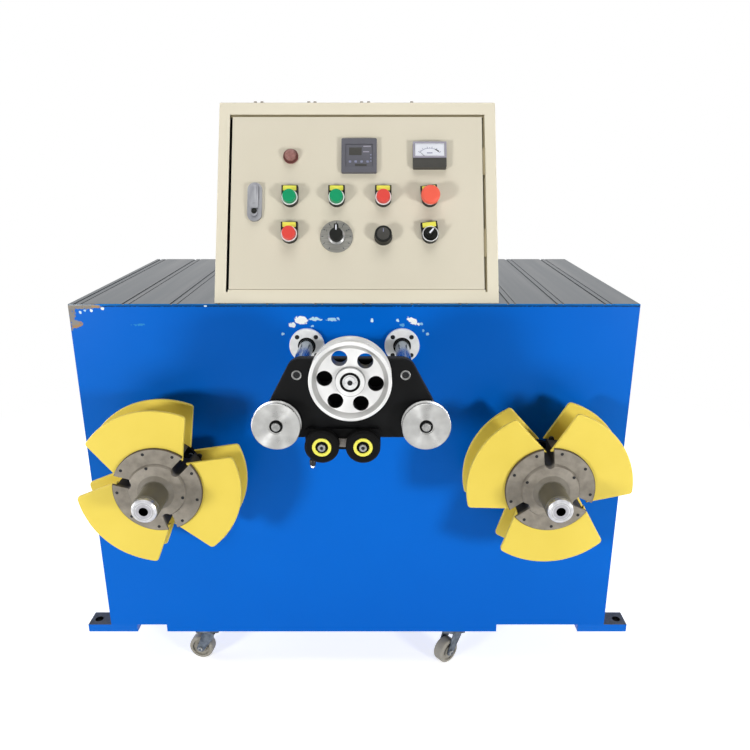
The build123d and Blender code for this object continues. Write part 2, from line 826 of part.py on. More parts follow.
# Measuring wheel: flanged tread, dished web and six round holes
wheel_bore = wheel_axle + run_gap
wheel_profile = (
    (wheel_bore, wheel_front),
    (wheel_hub_radius, wheel_front),
    (wheel_hub_radius, wheel_front + wheel_dish),
    (wheel_rim_inner, wheel_front + wheel_dish),
    (wheel_rim_inner + wheel_slope, wheel_front),
    (wheel_radius - wheel_bevel, wheel_front),
    (wheel_radius, wheel_front + wheel_bevel),
    (wheel_radius, wheel_front + wheel_flange),
    (wheel_tread, wheel_front + wheel_flange),
    (wheel_tread, wheel_back - wheel_flange),
    (wheel_radius, wheel_back - wheel_flange),
    (wheel_radius, wheel_back),
    (wheel_rim_inner, wheel_back),
    (wheel_rim_inner, wheel_back - wheel_dish),
    (wheel_hub_radius, wheel_back - wheel_dish),
    (wheel_hub_radius, wheel_back),
    (wheel_bore, wheel_back),
)
with BuildPart() as measuring_wheel:
    with BuildSketch(Plane.XY.offset(wheel_z)):
        Polygon(*wheel_profile, align=None)
    revolve(axis=Axis((0, 0, wheel_z), (0, 1, 0)))
    with BuildSketch(Plane.XZ.offset(-wheel_front + overrun)):
        with Locations((0, wheel_z)):
            with PolarLocations(wheel_hole_circle, 6, start_angle=wheel_hole_turn):
                Circle(wheel_hole_radius)
    extrude(amount=-(wheel_width + 2 * overrun), mode=Mode.SUBTRACT)
measuring_wheel.part.label = "measuring_wheel"
export_step(measuring_wheel.part, "parts/measuring_wheel.step")

# Deflection pulleys with a V groove
pulley_bore = pulley_axle + run_gap
pulley_mid = (pulley_front + pulley_back) / 2
for side, sign in (("left", -1), ("right", 1)):
    pulley_plane = Plane(origin=(sign * pulley_x, 0, pulley_z), x_dir=(1, 0, 0), z_dir=(0, 0, 1))
    with BuildPart() as pulley:
        with BuildSketch(pulley_plane):
            Polygon(
                (pulley_bore, pulley_front + pulley_dish),
                (pulley_dish_radius, pulley_front + pulley_dish),
                (pulley_dish_radius, pulley_front),
                (pulley_radius - pulley_bevel, pulley_front),
                (pulley_radius, pulley_front + pulley_bevel),
                (pulley_radius, pulley_front + pulley_flange),
                (pulley_radius - pulley_groove, pulley_mid - pulley_root / 2),
                (pulley_radius - pulley_groove, pulley_mid + pulley_root / 2),
                (pulley_radius, pulley_back - pulley_flange),
                (pulley_radius, pulley_back),
                (pulley_bore, pulley_back),
                align=None,
            )
        revolve(axis=Axis(pulley_plane.origin, (0, 1, 0)))
    pulley.part.label = f"{side}_pulley"
    export_step(pulley.part, f"parts/{side}_pulley.step")

# Press rollers under the plate
for side, x in (("left", roller_left_x), ("right", roller_right_x)):
    roller_plane = Plane(origin=(x, 0, roller_z), x_dir=(1, 0, 0), z_dir=(0, 0, 1))
    with BuildPart() as roller:
        with BuildSketch(roller_plane):
            Polygon(
                (roller_axle + run_gap, roller_front + roller_sink),
                (roller_core, roller_front + roller_sink),
                (roller_core, roller_front),
                (roller_radius - roller_crown, roller_front),
                (roller_radius, roller_front + roller_crown),
                (roller_radius, roller_back - roller_crown),
                (roller_radius - roller_crown, roller_back),
                (roller_axle + run_gap, roller_back),
                align=None,
            )
        revolve(axis=Axis(roller_plane.origin, (0, 1, 0)))
    roller.part.label = f"{side}_roller"
    export_step(roller.part, f"parts/{side}_roller.step")

# Spindle bearing housings, bolted to the front plate
with BuildPart() as spindle_bearings:
    with BuildSketch(Plane.XZ.offset(-face_y)):
        with Locations((-head_x, head_z), (head_x, head_z)):
            Circle(housing_radius)
    extrude(amount=housing_flange)
    with BuildSketch(Plane.XZ.offset(-face_y + housing_flange)):
        with Locations((-head_x, head_z), (head_x, head_z)):
            Circle(housing_nose_radius)
    extrude(amount=housing_nose)
    with BuildSketch(Plane.XZ.offset(-face_y)):
        with Locations((-head_x, head_z), (head_x, head_z)):
            Circle(sleeve_radius)
    extrude(amount=-sleeve_length)
    with BuildSketch(Plane.XZ.offset(-face_y + housing_flange + housing_nose + overrun)):
        with Locations((-head_x, head_z), (head_x, head_z)):
            Circle(spindle_radius + run_gap)
    extrude(amount=-(housing_flange + housing_nose + sleeve_length + 2 * overrun), mode=Mode.SUBTRACT)
spindle_bearings.part.label = "spindle_bearings"
export_step(spindle_bearings.part, "parts/spindle_bearings.step")

# Winding heads: slotted drum casting, three front and three rear wings, stepped spindle
drum_back = face_y - drum_stand
rim_back = drum_back - drum_length
rim_front = rim_back - rim_thick
step_front = rim_front - step_height
cone_front = step_front - cone_height
boss_front = cone_front - boss_length
nose_front = boss_front - nose_length
slot_near = rim_radius - slot_reach + slot_width / 2
slot_far = rim_radius + slot_width
slot_middle = (slot_near + slot_far) / 2
wing_gap_turn = 360 / slot_count
rear_wing_front = drum_back - rear_wing_back - wing_thick
for side, x, turn in (("left", -head_x, left_head_turn), ("right", head_x, right_head_turn)):
    head_axis = Axis((x, face_y, head_z), (0, 1, 0))
    head_plane = Plane(origin=(x, 0, head_z), x_dir=(1, 0, 0), z_dir=(0, 0, 1))
    face_of_head = Plane(origin=(x, 0, head_z), x_dir=(1, 0, 0), z_dir=(0, -1, 0))
    with BuildPart() as drum:
        with BuildSketch(head_plane):
            Polygon(
                (spindle_radius, drum_back),
                (drum_radius, drum_back),
                (drum_radius, rim_back),
                (rim_radius, rim_back),
                (rim_radius, rim_front + rim_bevel),
                (rim_radius - rim_bevel, rim_front),
                (step_radius, rim_front),
                (step_radius - step_height / 2, step_front),
                (cone_radius, cone_front),
                (boss_radius, cone_front - boss_root),
                (boss_radius, boss_front + boss_bevel),
                (boss_radius - boss_bevel, boss_front),
                (spindle_radius, boss_front),
                align=None,
            )
        revolve(axis=head_axis)
        with BuildSketch(face_of_head.offset(-drum_back - overrun)):
            with PolarLocations(slot_middle, slot_count, start_angle=turn):
                SlotCenterToCenter(slot_far - slot_near, slot_width)
        extrude(amount=drum_length + rim_thick + step_height + cone_height + 2 * overrun, mode=Mode.SUBTRACT)
        with BuildSketch(face_of_head.offset(-drum_back)):
            for i in range(slot_count):
                middle = turn + wing_gap_turn * (i + 0.5)
                SlotArc(
                    CenterArc((0, 0), pocket_circle, middle - pocket_half_turn, 2 * pocket_half_turn),
                    pocket_width,
                )
        extrude(amount=drum_length - drum_face, mode=Mode.SUBTRACT)
    drum.part.label = f"{side}_drum"
    export_step(drum.part, f"parts/{side}_drum.step")

    for layer, wing_front in (("front", rim_back), ("rear", rear_wing_front)):
        with BuildPart() as wings:
            with BuildSketch(face_of_head.offset(-wing_front)):
                for i in range(slot_count):
                    middle = turn + wing_gap_turn * (i + 0.5)
                    with BuildLine():
                        inner = CenterArc((0, 0), drum_radius, middle - wing_inner_turn, 2 * wing_inner_turn)
                        outer = CenterArc((0, 0), wing_radius, middle - wing_outer_turn, 2 * wing_outer_turn)
                        Line(inner @ 0, outer @ 0)
                        Line(inner @ 1, outer @ 1)
                    make_face()
            extrude(amount=-wing_thick)
            upright = wings.edges().filter_by(Axis.Y)
            far_edges = [
                edge
                for edge in upright
                if hypot(edge.center().X - x, edge.center().Z - head_z) > (drum_radius + wing_radius) / 2
            ]
            fillet(far_edges, radius=wing_round)
            fillet(wings.faces().filter_by(Axis.Y).edges(), radius=wing_edge)
        wings.part.label = f"{side}_{layer}_wings"
        export_step(wings.part, f"parts/{side}_{layer}_wings.step")

    with BuildPart() as spindle:
        with BuildSketch(head_plane):
            Polygon(
                (0, nose_front + nose_hole_depth),
                (nose_hole_radius, nose_front + nose_hole_depth),
                (nose_hole_radius, nose_front),
                (nose_radius - nose_bevel, nose_front),
                (nose_radius, nose_front + nose_bevel),
                (nose_radius, boss_front),
                (spindle_radius, boss_front),
                (spindle_radius, face_y + spindle_inside),
                (0, face_y + spindle_inside),
                align=None,
            )
        revolve(axis=head_axis)
    spindle.part.label = f"{side}_spindle"
    export_step(spindle.part, f"parts/{side}_spindle.step")
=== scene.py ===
import bpy
import bmesh
from math import atan2, cos, pi, radians, sin
from mathutils import Matrix, Vector


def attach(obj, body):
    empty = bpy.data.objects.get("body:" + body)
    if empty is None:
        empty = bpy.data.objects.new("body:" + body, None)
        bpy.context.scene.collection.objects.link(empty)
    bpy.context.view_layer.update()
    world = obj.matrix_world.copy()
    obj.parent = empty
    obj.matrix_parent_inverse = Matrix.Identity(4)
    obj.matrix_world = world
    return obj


# Wire coiling machine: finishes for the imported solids, and the screws, rings,
# labels and instrument faces that the solids leave out. Dictionaries are in mm.

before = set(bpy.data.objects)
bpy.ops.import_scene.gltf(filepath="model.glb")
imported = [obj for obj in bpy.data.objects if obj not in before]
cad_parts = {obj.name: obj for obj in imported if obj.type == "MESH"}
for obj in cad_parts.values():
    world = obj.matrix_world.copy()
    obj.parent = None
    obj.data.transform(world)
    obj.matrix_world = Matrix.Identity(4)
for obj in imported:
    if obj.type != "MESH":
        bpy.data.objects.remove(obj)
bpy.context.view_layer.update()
scene = bpy.context.scene
scene.view_settings.view_transform = "Standard"
mm = 0.001
sides = (("left", -1), ("right", 1))
print("frame loaded:", len(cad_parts), "nodes")


# sRGB hex to the linear colour that a shader socket takes
def hexColour(text):
    parts = [int(text[i:i + 2], 16) / 255 for i in (1, 3, 5)]
    return tuple(p / 12.92 if p <= 0.04045 else ((p + 0.055) / 1.055) ** 2.4 for p in parts) + (1.0,)


# each input of a node takes a value, another node's output, or a node for its first output
def feed(tree, node, inputs):
    for key, value in inputs.items():
        if isinstance(value, bpy.types.Node):
            value = value.outputs[0]
        if isinstance(value, bpy.types.NodeSocket):
            tree.links.new(value, node.inputs[key])
        else:
            node.inputs[key].default_value = value


# one node with its inputs and settings
def addNode(tree, kind, inputs=None, settings=None):
    node = tree.nodes.new("ShaderNode" + kind)
    for name, value in (settings or {}).items():
        setattr(node, name, value)
    feed(tree, node, inputs or {})
    return node


# settings that come up often; a colour mix takes its share in socket 0, its colours
# in sockets 6 and 7, and gives the result in output 2
colourMix = {"data_type": "RGBA"}
multiply = {"operation": "MULTIPLY"}
maximum = {"operation": "MAXIMUM"}
plasticIor = 1.5


def startFinish(name):
    finish = bpy.data.materials.new(name)
    finish.use_nodes = True
    tree = finish.node_tree
    tree.nodes.clear()
    shader = addNode(tree, "BsdfPrincipled")
    addNode(tree, "OutputMaterial", {"Surface": shader})
    place = addNode(tree, "TexCoord").outputs["Object"]
    return finish, tree, shader, place


# lays a second colour over a colour where both masks reach: used for real stains and for painted shade
def stainedAndShaded(tree, tint, first, second, stainAndShade):
    cover = addNode(tree, "Math", {0: first, 1: second}, multiply)
    return addNode(tree, "Mix", {0: cover, 6: tint, 7: hexColour(stainAndShade)}, colourMix).outputs[2]


# sprayed enamel on sheet steel: an even colour with a slow cloudy drift, orange peel
# in the gloss, slight waves in the sheet, and chips where they are listed
enamelLook = {"cloudMm": 190, "cloudDetail": 3.0, "gritMm": 3, "gritDetail": 6.0, "gritLow": 0.3, "gritHigh": 0.7,
              "roughSpread": 0.06, "waveMm": 120, "waveDetail": 1.0, "waveStrength": 0.05, "waveDepthShare": 0.01,
              "peelMm": 2.5, "peelDetail": 2.0, "peelStrength": 0.08, "peelDepthShare": 0.02, "shine": 0.25,
              "chips": [], "raggedGain": 3.2, "raggedShift": -0.6, "chipSoft": 0.1, "chipReach": 1000.0}


def enamel(name, colour, cloud, rough, **changes):
    look = dict(enamelLook, **changes)
    finish, tree, shader, place = startFinish(name)
    drift = addNode(tree, "TexNoise", {
        "Vector": place, "Scale": 1 / (look["cloudMm"] * mm), "Detail": look["cloudDetail"]})
    tint = addNode(tree, "Mix", {0: drift, 6: hexColour(colour), 7: hexColour(cloud)}, colourMix).outputs[2]
    grit = addNode(tree, "TexNoise", {
        "Vector": place, "Scale": 1 / (look["gritMm"] * mm), "Detail": look["gritDetail"]})
    broken = addNode(tree, "Math", {0: grit, 1: look["raggedGain"], 2: look["raggedShift"]},
                     {"operation": "MULTIPLY_ADD"})
    for x, z, wide, tall, turn, bare, level in look["chips"]:
        near = addNode(tree, "Mapping", {
            "Vector": place, "Location": (x * mm, 0.0, z * mm), "Rotation": (0.0, radians(turn), 0.0),
            "Scale": (wide * mm, look["chipReach"], tall * mm)}, {"vector_type": "TEXTURE"})
        middle = addNode(tree, "TexGradient", {"Vector": near}, {"gradient_type": "SPHERICAL"})
        ragged = addNode(tree, "Math", {0: middle.outputs[1], 1: broken}, multiply)
        edge = addNode(tree, "MapRange", {0: ragged, 1: level, 2: level + look["chipSoft"]})
        tint = addNode(tree, "Mix", {0: edge, 6: tint, 7: hexColour(bare)}, colourMix).outputs[2]
    gloss = addNode(tree, "MapRange", {
        0: grit, 1: look["gritLow"], 2: look["gritHigh"],
        3: rough - look["roughSpread"], 4: rough + look["roughSpread"]})
    wave = addNode(tree, "TexNoise", {
        "Vector": place, "Scale": 1 / (look["waveMm"] * mm), "Detail": look["waveDetail"]})
    sheetWave = addNode(tree, "Bump", {
        "Strength": look["waveStrength"], "Distance": look["waveMm"] * mm * look["waveDepthShare"], "Height": wave})
    peel = addNode(tree, "TexNoise", {
        "Vector": place, "Scale": 1 / (look["peelMm"] * mm), "Detail": look["peelDetail"]})
    skin = addNode(tree, "Bump", {
        "Strength": look["peelStrength"], "Distance": look["peelMm"] * mm * look["peelDepthShare"], "Height": peel,
        "Normal": sheetWave})
    feed(tree, shader, {"Base Color": tint, "Roughness": gloss, "Normal": skin, "IOR": plasticIor,
                        "Specular IOR Level": look["shine"]})
    return finish


# blue machine enamel: rich and even, with pale chips in the primer above the bushings,
# a dark line of painted shade at the joint under the top sheet, and one corner torn down to bare grey steel
blueLook = {"colour": "#0068D0", "cloud": "#005EC2", "rough": 0.34, "cloudMm": 420, "gritMm": 5, "waveMm": 160,
            "waveStrength": 0.1, "peelMm": 4, "peelStrength": 0.06, "shine": 0.08}
# chips: middle x and z, half width and height, turn, bare colour, level at which the edge breaks off
frontChips = [
    # the joint under the top sheet: a dark line of painted shade under its edge
    (0, 903, 9000, 3.2, 0, "#0B3866", 0.3),
    # primer over the left bushing, between the two and over the right one
    (-112, 872, 22, 12, 8, "#F4F6F4", 0.26), (-131, 862, 12, 8, 12, "#E9F0F2", 0.26),
    (-82, 875, 24, 7, 2, "#B9DCE9", 0.42), (-43, 874, 28, 7, -2, "#A6D2EA", 0.46),
    (-90, 859, 9, 5, 0, "#9CCBE8", 0.4), (37, 872, 5.5, 6, 0, "#D8F1F8", 0.26),
    (92, 872, 5, 5, 0, "#BFE2F2", 0.3), (124, 870, 22, 9, 30, "#F4F6F4", 0.26),
    (141, 864, 6, 5, 0, "#8FC3E6", 0.36), (102, 862, 10, 7, 0, "#5FA6DC", 0.42),
    (146, 849, 5, 5, 0, "#7DB6E0", 0.36), (155, 842, 6, 5, 0, "#A8D3EC", 0.32),
    (-152, 842, 6, 5, 0, "#A8D3EC", 0.32),
    # the torn corner, its rusty edge and the specks beside it
    (-602, 884, 20, 48, 0, "#86827D", 0.22), (-585, 903, 70, 9, 2, "#8C857B", 0.24),
    (-586, 862, 19, 9, -20, "#A1835F", 0.26), (-591, 867, 13, 9, 0, "#8B8884", 0.24),
    (-540, 902, 18, 5, 0, "#A98A62", 0.26), (-576, 889, 4.2, 5, 0, "#CFE5F0", 0.34),
    (-566, 893, 4, 4.4, 0, "#A9D0E8", 0.36), (-552, 893, 5, 4.6, 0, "#E8F3F6", 0.3),
    (-528, 897, 5.2, 4.6, 0, "#E8F3F6", 0.3), (-457, 862, 30, 5, -3, "#2E86C8", 0.5),
    (-312, 903, 5, 3.5, 0, "#DCE9EF", 0.32)]
bluePaint = enamel("blueMachineEnamel", **blueLook)
frontPaint = enamel("chippedBlueEnamel", chips=frontChips, **blueLook)

# beige cabinet enamel: eggshell gloss, faint yellowing
beigePaint = enamel("beigeConsoleEnamel", "#E9E2CD", "#E2DAC4", 0.42, gritMm=4, shine=0.3)
# the door's beige is a little greyer and darker than the rest of the console
doorPaint = enamel("beigeDoorEnamel", "#E0D9C6", "#D6CEB9", 0.42, cloudMm=260, gritMm=4, shine=0.3)
# the same beige, darkened and browned as painted shade, for the hinges and the strips in the joint round the door
jointShadeBeige = enamel("jointShadeBeigeEnamel", "#AA9F80", "#968B6C", 0.6, cloudMm=40, roughSpread=0.08, waveStrength=0.02,
                    peelStrength=0.1, shine=0.2)
# yellow enamel on the wings, a little uneven from wear
yellowPaint = enamel("yellowWingEnamel", "#E9D15B", "#E1C84F", 0.42, cloudMm=70, roughSpread=0.08, waveMm=60)
# black stove enamel on the guide plate, the roller bracket and the bearing housings
blackPaint = enamel("blackStoveEnamel", "#0B0B0C", "#131415", 0.5, cloudMm=45, gritMm=2, roughSpread=0.1, waveMm=50,
                    peelMm=2, peelStrength=0.14, shine=0.12)

# foot plates: blue on the edges, scuffed dark steel on top where things stand on them,
# and bolt holes painted near black inside as shade
footLook = {"holeX": 637, "holeY": (-164, 422), "holeRadius": 9.2, "holeSoft": 1.5, "edge": "#0066CC",
            "dark": "#2E3236", "light": "#6A6F76", "bore": "#0B0D10", "scuffMm": 9, "scuffDetail": 6.0,
            "flatFrom": 0.4, "flatTo": 0.6, "edgeRough": 0.24, "topRough": 0.55, "dentStrength": 0.2,
            "dentMm": 0.4, "shine": 0.12}
footPaint, tree, shader, place = startFinish("scuffedFootSteel")
normal = addNode(tree, "NewGeometry").outputs["Normal"]
upward = addNode(tree, "SeparateXYZ", {0: normal})
flat = addNode(tree, "MapRange", {0: upward.outputs[2], 1: footLook["flatFrom"], 2: footLook["flatTo"]})
scuff = addNode(tree, "TexNoise", {
    "Vector": place, "Scale": 1 / (footLook["scuffMm"] * mm), "Detail": footLook["scuffDetail"]})
steel = addNode(tree, "Mix", {0: scuff, 6: hexColour(footLook["dark"]), 7: hexColour(footLook["light"])}, colourMix)
tint = addNode(tree, "Mix", {0: flat, 6: hexColour(footLook["edge"]), 7: steel.outputs[2]}, colourMix).outputs[2]
level = addNode(tree, "VectorMath", {0: place, 1: (1, 1, 0)}, multiply)
# bolt holes: near black inside, painted shade
for x in (-footLook["holeX"], footLook["holeX"]):
    for y in footLook["holeY"]:
        near = addNode(tree, "VectorMath", {0: level, 1: (x * mm, y * mm, 0)}, {"operation": "DISTANCE"})
        hole = addNode(tree, "MapRange", {
            0: near.outputs["Value"], 1: footLook["holeRadius"] * mm,
            2: (footLook["holeRadius"] + footLook["holeSoft"]) * mm, 3: 1.0, 4: 0.0})
        tint = addNode(tree, "Mix", {0: hole, 6: tint, 7: hexColour(footLook["bore"])}, colourMix).outputs[2]
gloss = addNode(tree, "MapRange", {0: flat, 3: footLook["edgeRough"], 4: footLook["topRough"]})
dents = addNode(tree, "Bump", {
    "Strength": footLook["dentStrength"], "Distance": footLook["dentMm"] * mm, "Height": scuff})
feed(tree, shader, {"Base Color": tint, "Roughness": gloss, "Normal": dents, "IOR": plasticIor,
                    "Specular IOR Level": footLook["shine"]})
print("paints made")

# bare metal: grain streaks along one direction, or lathe rings round a centre, and bands of darker colour from one
# radius to the next round that centre, mostly painted shade; what lies behind a given depth inside a radius is
# painted dark as shade, and a folded edge can be another colour. A wave of the rings texture is 0.314 / scale metres
# wide
metalLook = {"grainMm": (8, 8, 8), "streakDetail": 5.0, "tintLow": 0.32, "tintHigh": 0.68, "glossLow": 0.3,
             "glossHigh": 0.7, "roughSpread": 0.06, "bump": 0.05, "bumpMm": 0.2, "metallic": 1.0, "brushed": 0.0,
             "waveMetres": 0.314, "ringWander": 0.6, "ringDetail": 2.0, "bands": [], "deepSoft": 0.4,
             "edgeSoft": 0.5, "edgeFade": 12}


def bareMetal(name, dark, light, rough, **changes):
    look = dict(metalLook, **changes)
    finish, tree, shader, place = startFinish(name)
    grain = addNode(tree, "Mapping", {"Vector": place, "Scale": tuple(1 / (size * mm) for size in look["grainMm"])})
    streak = addNode(tree, "TexNoise", {"Vector": grain, "Scale": 1.0, "Detail": look["streakDetail"]})
    level = addNode(tree, "MapRange", {0: streak, 1: look["tintLow"], 2: look["tintHigh"]})
    tint = addNode(tree, "Mix", {0: level, 6: hexColour(dark), 7: hexColour(light)}, colourMix).outputs[2]
    gloss = addNode(tree, "MapRange", {
        0: streak, 1: look["glossLow"], 2: look["glossHigh"],
        3: rough - look["roughSpread"], 4: rough + look["roughSpread"]})
    height = streak
    along = addNode(tree, "SeparateXYZ", {0: place})
    if "centre" in look:
        axis = addNode(tree, "Mapping", {"Vector": place, "Location": tuple(-size * mm for size in look["centre"])})
        flat = addNode(tree, "VectorMath", {0: axis, 1: (1, 0, 1)}, multiply)
        reach = addNode(tree, "VectorMath", {0: flat}, {"operation": "LENGTH"}).outputs["Value"]
        for inner, outer, soft, stainAndShade, weight in look["bands"]:
            rise = addNode(tree, "MapRange", {0: reach, 1: (inner - soft) * mm, 2: inner * mm, 3: 0.0, 4: weight})
            fall = addNode(tree, "MapRange", {0: reach, 1: outer * mm, 2: (outer + soft) * mm, 3: 1.0, 4: 0.0})
            tint = stainedAndShaded(tree, tint, rise, fall, stainAndShade)
        rings = addNode(tree, "TexWave", {
            "Vector": axis, "Scale": look["waveMetres"] / (look["ringMm"] * mm), "Distortion": look["ringWander"],
            "Detail": look["ringDetail"]}, {"wave_type": "RINGS", "rings_direction": "Y"})
        height = rings.outputs[1]
        tangent = addNode(tree, "Tangent", {}, {"direction_type": "RADIAL", "axis": "Y"})
        feed(tree, shader, {"Tangent": tangent})
        # painted shade: what lies behind a given depth, inside a radius, goes dark
        if "deepShade" in look:
            start, full, within, stainAndShade, weight = look["deepShade"]
            sunk = addNode(tree, "MapRange", {
                0: along.outputs[1], 1: start * mm, 2: full * mm, 3: 0.0, 4: weight})
            inside = addNode(tree, "MapRange", {
                0: reach, 1: within * mm, 2: (within + look["deepSoft"]) * mm, 3: 1.0, 4: 0.0})
            tint = stainedAndShaded(tree, tint, sunk, inside, stainAndShade)
    if "edge" in look:
        front = addNode(tree, "MapRange", {
            0: along.outputs[1], 1: look["edgeY"] * mm, 2: (look["edgeY"] + look["edgeSoft"]) * mm, 3: 1.0, 4: 0.0})
        kept = addNode(tree, "MapRange", {
            0: along.outputs[0], 1: (look["edgeFrom"] - look["edgeFade"]) * mm, 2: look["edgeFrom"] * mm})
        tint = stainedAndShaded(tree, tint, front, kept, look["edge"])
    bump = addNode(tree, "Bump", {"Strength": look["bump"], "Distance": look["bumpMm"] * mm, "Height": height})
    feed(tree, shader, {"Base Color": tint, "Roughness": gloss, "Normal": bump, "Metallic": look["metallic"],
                        "Anisotropic": look["brushed"]})
    return finish


# top sheet: cold-rolled steel under lacquer, long streaks from front to back that are partly rolling marks and partly
# painted reflection streaks; its folded front edge dulled with overspray except at the torn left corner
topSteel = bareMetal("coldRolledSteel", "#53575C", "#666B70", 0.36, grainMm=(22, 700, 22), edgeY=-185,
                     edgeFrom=-535, edge="#0D5592")
# drum casting: grey iron, faced on a lathe and dulled by handling; painted shade darkens the boss,
# the boss's shadow on the flare round it, a line at the step, the shadow gap round the rim and the inside of the
# slots
drumLook = {"dark": "#777065", "light": "#90897D", "rough": 0.55, "roughSpread": 0.08, "grainMm": (18, 18, 18),
            "bump": 0.2, "ringMm": 3, "metallic": 0.15, "deepShade": (-325, -316, 120, "#14120E", 0.88),
            "bands": [(0, 28.6, 0.6, "#4A4636", 0.85), (29, 37, 1.5, "#4E493E", 0.55),
                      (59, 60.4, 0.8, "#5E584F", 0.3), (91.6, 99, 0.4, "#3A2C1A", 0.9)]}
# spindle noses: ground steel with an unlit threaded hole, a grey ring of painted shade round it
# and a darker line at the edge
noseLook = {"dark": "#B0B0B4", "light": "#CDCDD0", "rough": 0.34, "bump": 0.06, "ringMm": 2,
            "bands": [(0, 9.2, 0.3, "#060606", 1.0), (10.4, 14.6, 1.4, "#8F8D94", 0.6),
                      (17.4, 18.2, 0.3, "#8A8A88", 0.8)]}
# pulleys and measuring wheel: turned aluminium, lathe rings that fan the light out in a bow tie
turnedLook = {"dark": "#ABABA9", "light": "#C6C6C4", "rough": 0.3, "roughSpread": 0.05, "grainMm": (30, 30, 30),
              "bump": 0.08, "ringMm": 1.6, "brushed": 0.85}
centres = {"headX": 405, "headZ": 546, "pulleyX": 140, "pulleyZ": 724, "wheelZ": 819}
drumIron, noseSteel, pulleyAluminium = {}, {}, {}
for side, sign in sides:
    head = (sign * centres["headX"], 0, centres["headZ"])
    pulley = (sign * centres["pulleyX"], 0, centres["pulleyZ"])
    drumIron[side] = bareMetal(side + "FacedIron", centre=head, **drumLook)
    noseSteel[side] = bareMetal(side + "NoseSteel", centre=head, **noseLook)
    pulleyAluminium[side] = bareMetal(f"turned{side.title()}Pulley", centre=pulley, **turnedLook)
# measuring wheel: brighter turned aluminium with a dark line at the hub's edge; painted shade gives a grey band on
# the inner wall of the rim's lip and near black inside its holes and behind its face
wheelAluminium = bareMetal("turnedWheelAluminium", **dict(
    turnedLook, dark="#E0E0DF", light="#EEEEED", metallic=0.3, rough=0.4, centre=(0, 0, centres["wheelZ"]),
    bands=[(26.4, 27.4, 0.4, "#7B7B7B", 0.8), (61.2, 68.6, 0.6, "#A3A29F", 0.75)],
    deepShade=(-433, -431.5, 62.5, "#08090B", 0.97)))
# bright steel: ground axles, bearing races and tips
brightSteel = bareMetal("groundSteel", "#DADBDC", "#F2F2F2", 0.3, bump=0.04)
# bushing flanges and button rings: turned aluminium, near white
bushAluminium = bareMetal("turnedBushingAluminium", "#EBEBEA", "#F6F6F5", 0.5, grainMm=(12, 12, 12), metallic=0.12)
# guide rods: hard chrome, long grain and next to no relief
hardChrome = bareMetal("hardChrome", "#8C98A4", "#A5B0BA", 0.2, grainMm=(40, 200, 40), roughSpread=0.03, bump=0.005)
# door lock: zinc die casting
lockZinc = bareMetal("chromedZinc", "#8B8C91", "#A6A7AB", 0.4, grainMm=(20, 20, 50), bump=0.03, metallic=0.8)
# scale plate of the rotary switch: brushed aluminium
dialMetal = bareMetal("brushedScalePlate", "#7F7E78", "#95948D", 0.45, grainMm=(40, 3, 3), metallic=0.3)
# castor forks: zinc plate with a blue tinge
castorSteel = bareMetal("blueZincPlate", "#3B444E", "#727A84", 0.4, grainMm=(14, 14, 14), roughSpread=0.1,
                        bump=0.08, metallic=0.6)
# screws: black oxide, nearly matt
blackSteel = bareMetal("blackOxideSteel", "#101113", "#1E2022", 0.42, grainMm=(4, 4, 4), roughSpread=0.08,
                       bump=0.04, metallic=0.4)
# bolt heads on the pulleys, rollers and castors: plain turned steel
boltSteel = bareMetal("turnedBoltSteel", "#8E8F8E", "#ABABA9", 0.38, grainMm=(6, 6, 6), metallic=0.6)
# lid bolts: weathered galvanised steel
dullSteel = bareMetal("galvanisedSteel", "#8A837C", "#B0AAA2", 0.5, grainMm=(4, 4, 4), roughSpread=0.08,
                      bump=0.06, metallic=0.5)
print("metals made")

# moulded plastic: even colour, fine spark-eroded texture in the gloss
plasticLook = {"flowMm": 20, "flowDetail": 3.0, "grainMm": 0.8, "grainDetail": 2.0, "grainLow": 0.3,
               "grainHigh": 0.7, "roughSpread": 0.05, "bump": 0.1, "bumpMm": 0.1, "shine": 0.25}


def moulded(name, colour, flowAndGlintColour, rough, **changes):
    look = dict(plasticLook, **changes)
    finish, tree, shader, place = startFinish(name)
    flow = addNode(tree, "TexNoise", {
        "Vector": place, "Scale": 1 / (look["flowMm"] * mm), "Detail": look["flowDetail"]})
    tint = addNode(tree, "Mix", {0: flow, 6: hexColour(colour), 7: hexColour(flowAndGlintColour)}, colourMix)
    grain = addNode(tree, "TexNoise", {
        "Vector": place, "Scale": 1 / (look["grainMm"] * mm), "Detail": look["grainDetail"]})
    gloss = addNode(tree, "MapRange", {
        0: grain, 1: look["grainLow"], 2: look["grainHigh"],
        3: rough - look["roughSpread"], 4: rough + look["roughSpread"]})
    bump = addNode(tree, "Bump", {"Strength": look["bump"], "Distance": look["bumpMm"] * mm, "Height": grain})
    feed(tree, shader, {"Base Color": tint.outputs[2], "Roughness": gloss, "Normal": bump, "IOR": plasticIor,
                        "Specular IOR Level": look["shine"]})
    return finish


# knobs and switch bodies, instrument cases, caps and labels
blackPlastic = moulded("blackPhenolic", "#131412", "#1D1E1B", 0.42, shine=0.16)
greyPlastic = moulded("greyInstrumentPlastic", "#585860", "#64646B", 0.45)
meterPlastic = moulded("blackMeterPlastic", "#3A3936", "#454440", 0.45)
redPlastic = moulded("redButtonPlastic", "#DD443C", "#E25148", 0.4)
mushroomPlastic = moulded("redMushroomPlastic", "#F05F4B", "#F46A55", 0.42)
greenPlastic = moulded("greenButtonPlastic", "#058F5C", "#0A9A66", 0.4)
yellowPlastic = moulded("yellowLabelPlastic", "#EDE750", "#F1EC6B", 0.45)
